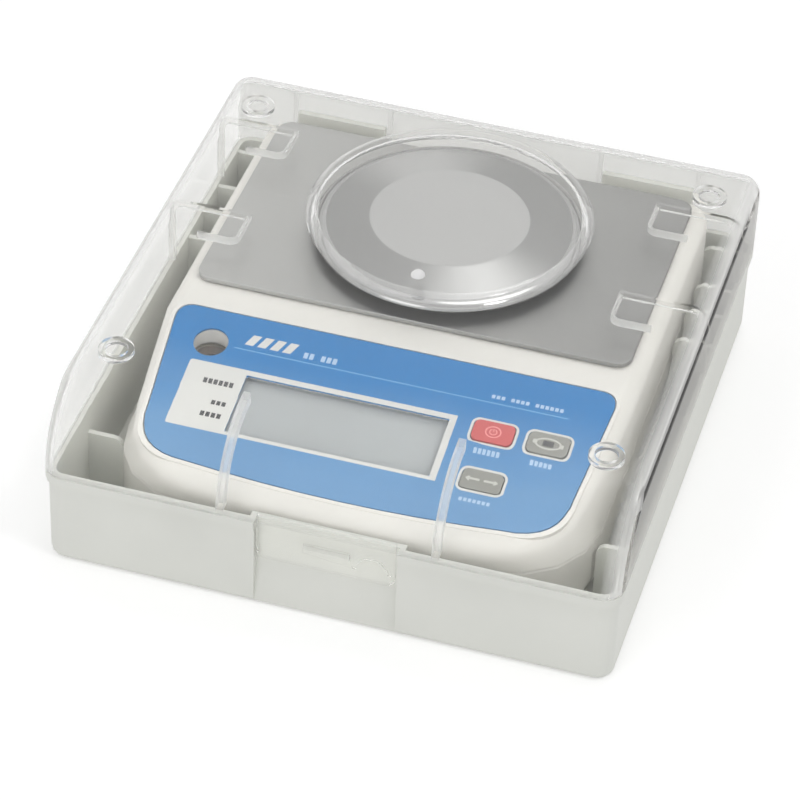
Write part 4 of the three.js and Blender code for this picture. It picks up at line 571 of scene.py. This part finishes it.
# Pieces with rounded edges: width of the rounding, its segments, and the lid's own least angle
EDGES = {
    "case_tray": (0.35, 3),
    "case_lid": (0.35, 3, 40),
    "upper_housing": (0.3, 3),
    "lower_housing": (0.3, 2),
    "deck_plate": (0.3, 3),
    "panel_overlay": (0.12, 2),
    "display_lens": (0.1, 2),
    "display_module": (0.1, 2),
    "display_holder": (0.2, 2),
    "power_key": (0.5, 4),
    "units_key": (0.5, 4),
    "zero_key": (0.5, 4),
    "hinge_pin_left": (0.2, 2),
    "hinge_pin_right": (0.2, 2),
    "level_cup": (0.2, 2),
    "level_glass": (0.2, 2),
    "pan_support": (0.2, 2),
    "battery_cover": (0.2, 2),
}
for place in ("rear_left", "rear_right", "front_left", "front_right"):
    EDGES["levelling_foot_" + place] = (0.25, 2)
    EDGES["foot_pad_" + place] = (0.25, 2)
dressed = {node: dress(node, *edge) for node, edge in EDGES.items()}


# Lid: its thick and rough places look whiter than its thin walls, and its right side wall has
# painted shade where it is seen edge on

LID_FINISHES = (
    "clear_lid", "thick_clear", "rib_clear", "frosted_clear", "wall_clear", "thin_clear"
)


def near(value, targets, reach):
    return any(abs(value - target) < reach for target in targets)


def lid_finish(face):
    """The finish of one face of the lid, from its place and size."""
    x, y, z = (value / MM for value in face.center)
    out = abs(x)
    if z > GATE_Z:
        return "frosted_clear"
    if z > ROOF_UNDER_Z + LID_SLACK and face.area < LARGEST_DETAIL * MM * MM:
        at_ring = near(out, [RING_X], RING_REACH) and near(y, RING_PLACES_Y, RING_REACH)
        at_dome_foot = DOME_FOOT_RADII[0] < hypot(x, y - BALANCE_Y) < DOME_FOOT_RADII[1]
        if (at_ring and z > LID_TOP + LID_SLACK) or at_dome_foot:
            return "thick_clear"
    at_pad = PAD_EDGES_X[0] < out < PAD_EDGES_X[1] and near(y, PAD_PLACES_Y, PAD_REACH_Y)
    at_fin = near(out, [FIN_X], FIN_REACH_X) and y < FIN_END_Y and z > RIM_Z
    if (at_pad and PAD_EDGES_Z[0] < z < PAD_EDGES_Z[1]) or at_fin:
        return "rib_clear"
    sideways = abs(face.normal.x) > 0.9
    if sideways and out > LID_HALF_WIDTH - SIDE_WALL_REACH:
        # The right side wall takes the finish with painted shade
        return "wall_clear" if x > 0 else "thin_clear"
    return "clear_lid"


finish_faces(dressed["case_lid"], LID_FINISHES, lid_finish)


# Weighing pan, with its rolled rim

PAN_FINISHES = ("pan_steel", "pan_middle", "pan_rim")


def pan_profile():
    """Radii and heights of the pan's sheet: outwards on top, round the rim and back below."""
    steepness = PAN_SLOPE_DROP / (PAN_SLOPE_RADIUS - PAN_FLAT_RADIUS)
    top = [(0, PAN_TOP_Z), (PAN_FLAT_RADIUS - PAN_BLEND, PAN_TOP_Z)]
    for i in range(1, PAN_BLEND_STEPS + 1):
        share = i / PAN_BLEND_STEPS
        radius = PAN_FLAT_RADIUS - PAN_BLEND + 2 * PAN_BLEND * share
        top.append((radius, PAN_TOP_Z - steepness * PAN_BLEND * share * share))
    slope_end = PAN_TOP_Z - PAN_SLOPE_DROP
    top.append((PAN_SLOPE_RADIUS, slope_end))
    for i in range(1, PAN_RIM_STEPS + 1):
        angle = pi / 2 * i / PAN_RIM_STEPS
        radius = PAN_SLOPE_RADIUS + (PAN_RADIUS - PAN_SLOPE_RADIUS) * sin(angle)
        top.append((radius, slope_end - (PAN_RIM_DROP - PAN_SLOPE_DROP) * (1 - cos(angle))))
    inner_radius = PAN_RADIUS - PAN_SHEET
    below = [(min(radius, inner_radius), height - PAN_SHEET) for radius, height in top[:-2]]
    sheet = top + [(inner_radius, PAN_TOP_Z - PAN_RIM_DROP)] + below[::-1]
    return [(radius, height + BALANCE_Z) for radius, height in sheet]


def pan_finish(face):
    """The finish of one face of the pan, from its place."""
    x, y, z = (value / MM for value in face.center)
    radius = hypot(x, y - BALANCE_Y)
    if radius > PAN_SLOPE_RADIUS:
        return "pan_rim"
    if radius < PAN_FLAT_RADIUS and z > BALANCE_Z + PAN_TOP_Z - PAN_SHEET / 2:
        return "pan_middle"
    return "pan_steel"


dish = lathe("pan_dish", pan_profile(), (0, BALANCE_Y), PAN_STEPS_AROUND)
pan = new_object("pan_dish", dish, PAN_FINISHES[0], "pan")
soften(pan)
finish_faces(pan, PAN_FINISHES, pan_finish)
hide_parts("weighing_pan")


# Printing. An outline is a list of places, across and down on the panel.

PRINT_THICKNESS = 0.04
ON_PRINT = OVERLAY_TOP + PRINT_THICKNESS
BLOCK_SHARE = 0.72


def on_panel(x, down, out):
    """A point of the scene, from its place on the sloping panel."""
    y = BALANCE_Y - CREASE - down * cos(PANEL_SLOPE) - out * sin(PANEL_SLOPE)
    z = BALANCE_Z + DECK_Z - down * sin(PANEL_SLOPE) + out * cos(PANEL_SLOPE)
    return Vector((x, y, z)) * MM


def span_on_panel(node, above):
    """The middle, width and height on the panel of what a CAD node has above a level."""
    origin = on_panel(0, 0, 0)
    places = [vertex.co - origin for vertex in frame["nodes"][node].data.vertices]
    top = [place for place in places if place.dot(PANEL_OUT) > above * MM]
    across = [place.x / MM for place in top]
    down = [place.dot(PANEL_DOWN) / MM for place in top]
    middle = ((min(across) + max(across)) / 2, (min(down) + max(down)) / 2)
    return middle, max(across) - min(across), max(down) - min(down)


def print_outlines(name, outlines, ink, node="panel_overlay", out=OVERLAY_TOP):
    """Thin raised print on the piece of a node, at a height above the panel."""
    form = bmesh.new()
    for outline in outlines:
        low = [form.verts.new(on_panel(x, down, out - PRINT_THICKNESS / 4)) for x, down in outline]
        high = [form.verts.new(on_panel(x, down, out + PRINT_THICKNESS)) for x, down in outline]
        form.faces.new(high)
        form.faces.new(low[::-1])
        for i in range(len(outline)):
            j = (i + 1) % len(outline)
            form.faces.new([low[i], low[j], high[j], high[i]])
    bmesh.ops.recalc_face_normals(form, faces=form.faces)
    new_object(name, mesh_from(form, name), ink, frame["nodes"][node]["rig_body"])


def box(left, right, top, bottom, lean=0):
    """A plain box, whose top may lean to the right."""
    return [(right + lean, top), (left + lean, top), (left, bottom), (right, bottom)]


def arc(x, down, radius, start, end, steps=8):
    """Places along an arc, anticlockwise as the user sees it."""
    angles = [start + (end - start) * i / steps for i in range(steps + 1)]
    return [(x + radius * cos(angle), down - radius * sin(angle)) for angle in angles]


def rounded_box(x, down, width, height, radius):
    """A box about a middle with round corners, anticlockwise as the user sees it."""
    right, left = x + width / 2 - radius, x - width / 2 + radius
    top, bottom = down - height / 2 + radius, down + height / 2 - radius
    corners = ((right, top), (left, top), (left, bottom), (right, bottom))
    outline = []
    for i, (middle, level) in enumerate(corners):
        outline += arc(middle, level, radius, i * pi / 2, (i + 1) * pi / 2, steps=6)
    return outline


def rounded_frame(x, down, width, height, radius, line):
    """A line with round corners, as one outline for each of its stretches."""
    outer = rounded_box(x, down, width, height, radius)
    inner = rounded_box(x, down, width - 2 * line, height - 2 * line, radius - line)
    return list(zip(outer, outer[1:] + outer[:1], inner[1:] + inner[:1], inner))


def key_outline(x, down, width, height):
    """A rounded line round a key, at a small distance from it."""
    margin_across, margin_down = 1.0, 0.9
    return rounded_frame(
        x, down, width + 2 * margin_across, height + 2 * margin_down, radius=2.3, line=0.75
    )


def ring(x, down, half_width, half_height, line, start=0.0, end=2.0, steps=24):
    """An oval line, or its part between two angles in half turns, as one outline for each step."""
    def place(i, spread):
        angle = pi * (start + (end - start) * i / steps)
        return (x + (half_width + spread) * cos(angle), down - (half_height + spread) * sin(angle))
    half = line / 2
    return [
        [place(i, half), place(i + 1, half), place(i + 1, -half), place(i, -half)]
        for i in range(steps)
    ]


def word_blocks(left, right, top, bottom, *words):
    """A caption kept bare: plain blocks in place of letters, as many for each word as given."""
    pitch = (right - left) / (sum(words) + len(words) - 1)
    outlines = []
    start = left
    for blocks in words:
        for i in range(blocks):
            outlines.append(box(start + pitch * i, start + pitch * (i + BLOCK_SHARE), top, bottom))
        start += pitch * (blocks + 1)
    return outlines


def display_surround():
    """The pale field round the display: wide and round at its left, and narrow elsewhere."""
    half_width, half_height = DISPLAY["width"] / 2, DISPLAY["height"] / 2
    left, right = DISPLAY["x"] - half_width, DISPLAY["x"] + half_width
    top, bottom = DISPLAY["down"] - half_height, DISPLAY["down"] + half_height
    outer_left, outer_right = -54, right + 1.9
    outer_top, outer_bottom = top - 1.7, bottom + 1.4
    corner = 0.9
    captions_field = (
        [(left, outer_bottom), (left, outer_top)]
        + arc(outer_left + corner, outer_top + corner, corner, pi / 2, pi)
        + arc(outer_left + corner, outer_bottom - corner, corner, pi, 1.5 * pi)
    )
    return [
        captions_field,
        box(left, outer_right, outer_top, top),
        box(left, outer_right, bottom, outer_bottom),
        box(right, outer_right, top, bottom),
    ]


def power_symbol(x, down):
    """A ring that is open at the top for an upright stroke, inside an oval."""
    return (
        ring(x, down, 2.1, 1.8, 0.35)
        + ring(x, down, 1.0, 0.9, 0.3, 0.65, 2.35)
        + [box(x - 0.15, x + 0.15, down - 1.1, down)]
    )


def units_symbol(x, down):
    """Two half ovals with blunt ends."""
    return (
        ring(x, down, 3.5, 1.7, 0.5, 0.1, 0.9, 14)
        + ring(x, down, 3.5, 1.7, 0.5, 1.1, 1.9, 14)
        + [box(x - 4.3, x - 3.1, down - 0.8, down + 0.5)]
        + [box(x + 3.1, x + 4.3, down - 0.5, down + 0.8)]
    )


def zero_symbol(x, down):
    """Two arrows that point away from each other."""
    return [
        box(x - 3.6, x - 0.6, down - 0.3, down + 0.3),
        box(x + 0.6, x + 3.6, down - 0.3, down + 0.3),
        [(x - 3.4, down - 0.9), (x - 4.6, down), (x - 3.4, down + 0.9)],
        [(x + 3.4, down + 0.9), (x + 4.6, down), (x + 3.4, down - 0.9)],
    ]


print_outlines("display_surround", display_surround(), "print_white")
field_captions = (
    word_blocks(-48.3, -39.3, 24.1, 25.5, 6)
    + word_blocks(-43.8, -39.3, 30.5, 31.9, 3)
    + word_blocks(-45.6, -39.3, 34.9, 36.3, 4)
)
print_outlines("field_captions", field_captions, "print_dark", out=ON_PRINT)

for key, symbol, ink in (
    ("power_key", power_symbol, "print_rose"),
    ("units_key", units_symbol, "print_silver"),
    ("zero_key", zero_symbol, "print_silver"),
):
    (x, down), width, height = span_on_panel(key, KEY_TOP / 2)
    print_outlines(key + "_outline", key_outline(x, down, width, height), "print_white")
    print_outlines(key + "_symbol", symbol(x, down), ink, key, KEY_TOP)
    if key == "units_key":
        core = [box(x - 1.5, x + 1.5, down - 0.9, down + 0.9)]
        print_outlines(key + "_core", core, "print_dark", key, KEY_TOP)

print_outlines("panel_line", [box(-43.7, 51.9, 11.84, 12.16)], "print_line")
mark = [box(left, left + 2.4, 6.5, 10.2, lean=1.6) for left in (-41.2, -37.6, -34, -30.4)]
print_outlines("panel_mark", mark, "print_white")
print_outlines("panel_number", word_blocks(-24.2, -14.2, 8.6, 10.6, 2, 3), "print_pale")
panel_captions = (
    word_blocks(29.7, 50.3, 9.2, 10.4, 3, 4, 6)
    + word_blocks(29.8, 37.4, 28.0, 29.1, 6)
    + word_blocks(45.6, 52.0, 28.0, 29.1, 5)
    + word_blocks(30.4, 39.4, 44.4, 45.5, 7)
)
print_outlines("panel_captions", panel_captions, "print_pale")


# Camera, fitted to the photograph

AZIMUTH, ELEVATION, ROLL = radians(15.11), radians(39.51), radians(-2.43)
DISTANCE = 1123.56
AIM = Vector((0, 105.51, 1))
OFF_AXIS = (33.39, 55.23)
FOCAL_LENGTH = 163.76
SENSOR_WIDTH = 36
NEAREST, FARTHEST = 0.05, 20  # metres


def make_camera():
    """The camera looks at its aim from a distance, and is then shifted off that axis."""
    back = Vector((sin(AZIMUTH) * cos(ELEVATION), -cos(AZIMUTH) * cos(ELEVATION), sin(ELEVATION)))
    level = Vector((cos(AZIMUTH), sin(AZIMUTH), 0))
    upright = back.cross(level)
    across = level * cos(ROLL) - upright * sin(ROLL)
    up = level * sin(ROLL) + upright * cos(ROLL)
    eye = AIM + back * DISTANCE - across * OFF_AXIS[0] - up * OFF_AXIS[1]
    data = bpy.data.cameras.new("camera")
    data.lens = FOCAL_LENGTH
    data.sensor_width = SENSOR_WIDTH
    data.clip_start = NEAREST
    data.clip_end = FARTHEST
    camera = bpy.data.objects.new("camera", data)
    scene.collection.objects.link(camera)
    turn = Matrix((across, up, back)).transposed().to_4x4()
    camera.matrix_world = Matrix.Translation(eye * MM) @ turn
    scene.camera = camera


# Floor, world and lamps, in metres and watts

FLOOR_HALF = 3
FLOOR_GLOW = 0.26
WORLD_LIGHT = 0.65
LAMPS = {
    "key_lamp": dict(place=(0.66, -0.26, 1.08), target=(0, 0, 0.02), size=0.3, power=1.6),
    "front_lamp": dict(place=(-0.4, -1.1, 0.6), target=(0, 0, 0.02), size=0.8, power=2.1),
    "back_lamp": dict(place=(0.06, 0.62, 1.25), target=(0, 0.03, 0.03), size=0.5, power=1.3),
}


def make_floor():
    """White paper, which glows a little to the eye so that it shows as pure white."""
    mesh = bpy.data.meshes.new("floor")
    corners = [(-1, -1), (1, -1), (1, 1), (-1, 1)]
    mesh.from_pydata([(x * FLOOR_HALF, y * FLOOR_HALF, 0) for x, y in corners], [], [(0, 1, 2, 3)])
    floor = bpy.data.objects.new("floor", mesh)
    scene.collection.objects.link(floor)
    shader = Shader("floor_paper")
    dim, bright = (0.93, 0.93, 0.93, 1), (0.95, 0.95, 0.95, 1)
    tone = shader.ramp(shader.noise(scale=3, detail=2), dim, bright)
    shader.set(colour=tone, roughness=0.9, specular=0.0)
    strength = shader.times(shader.seen(), FLOOR_GLOW)
    glow = shader.node("ShaderNodeEmission", {"Strength": strength}).outputs["Emission"]
    both = shader.node("ShaderNodeAddShader", {0: shader.principled.outputs["BSDF"], 1: glow})
    shader.feed(shader.output, {"Surface": both.outputs["Shader"]})
    mesh.materials.append(shader.material)


def make_world():
    """A white world that is seen as pure white but lights the scene less."""
    world = bpy.data.worlds.new("studio")
    scene.world = world
    world.use_nodes = True
    nodes = Nodes(world.node_tree)
    strength = nodes.between(nodes.seen(), WORLD_LIGHT, 1)
    nodes.feed(nodes.first("BACKGROUND"), {"Color": (1, 1, 1, 1), "Strength": strength})


def make_lamp(name, place, target, size, power):
    data = bpy.data.lights.new(name, "AREA")
    data.shape = "DISK"
    data.size = size
    data.energy = power
    lamp = bpy.data.objects.new(name, data)
    scene.collection.objects.link(lamp)
    lamp.location = place
    lamp.rotation_euler = (Vector(target) - Vector(place)).to_track_quat("-Z", "Y").to_euler()


make_camera()
make_floor()
make_world()
for name, lamp in LAMPS.items():
    make_lamp(name, **lamp)
scene.view_settings.view_transform = "Standard"
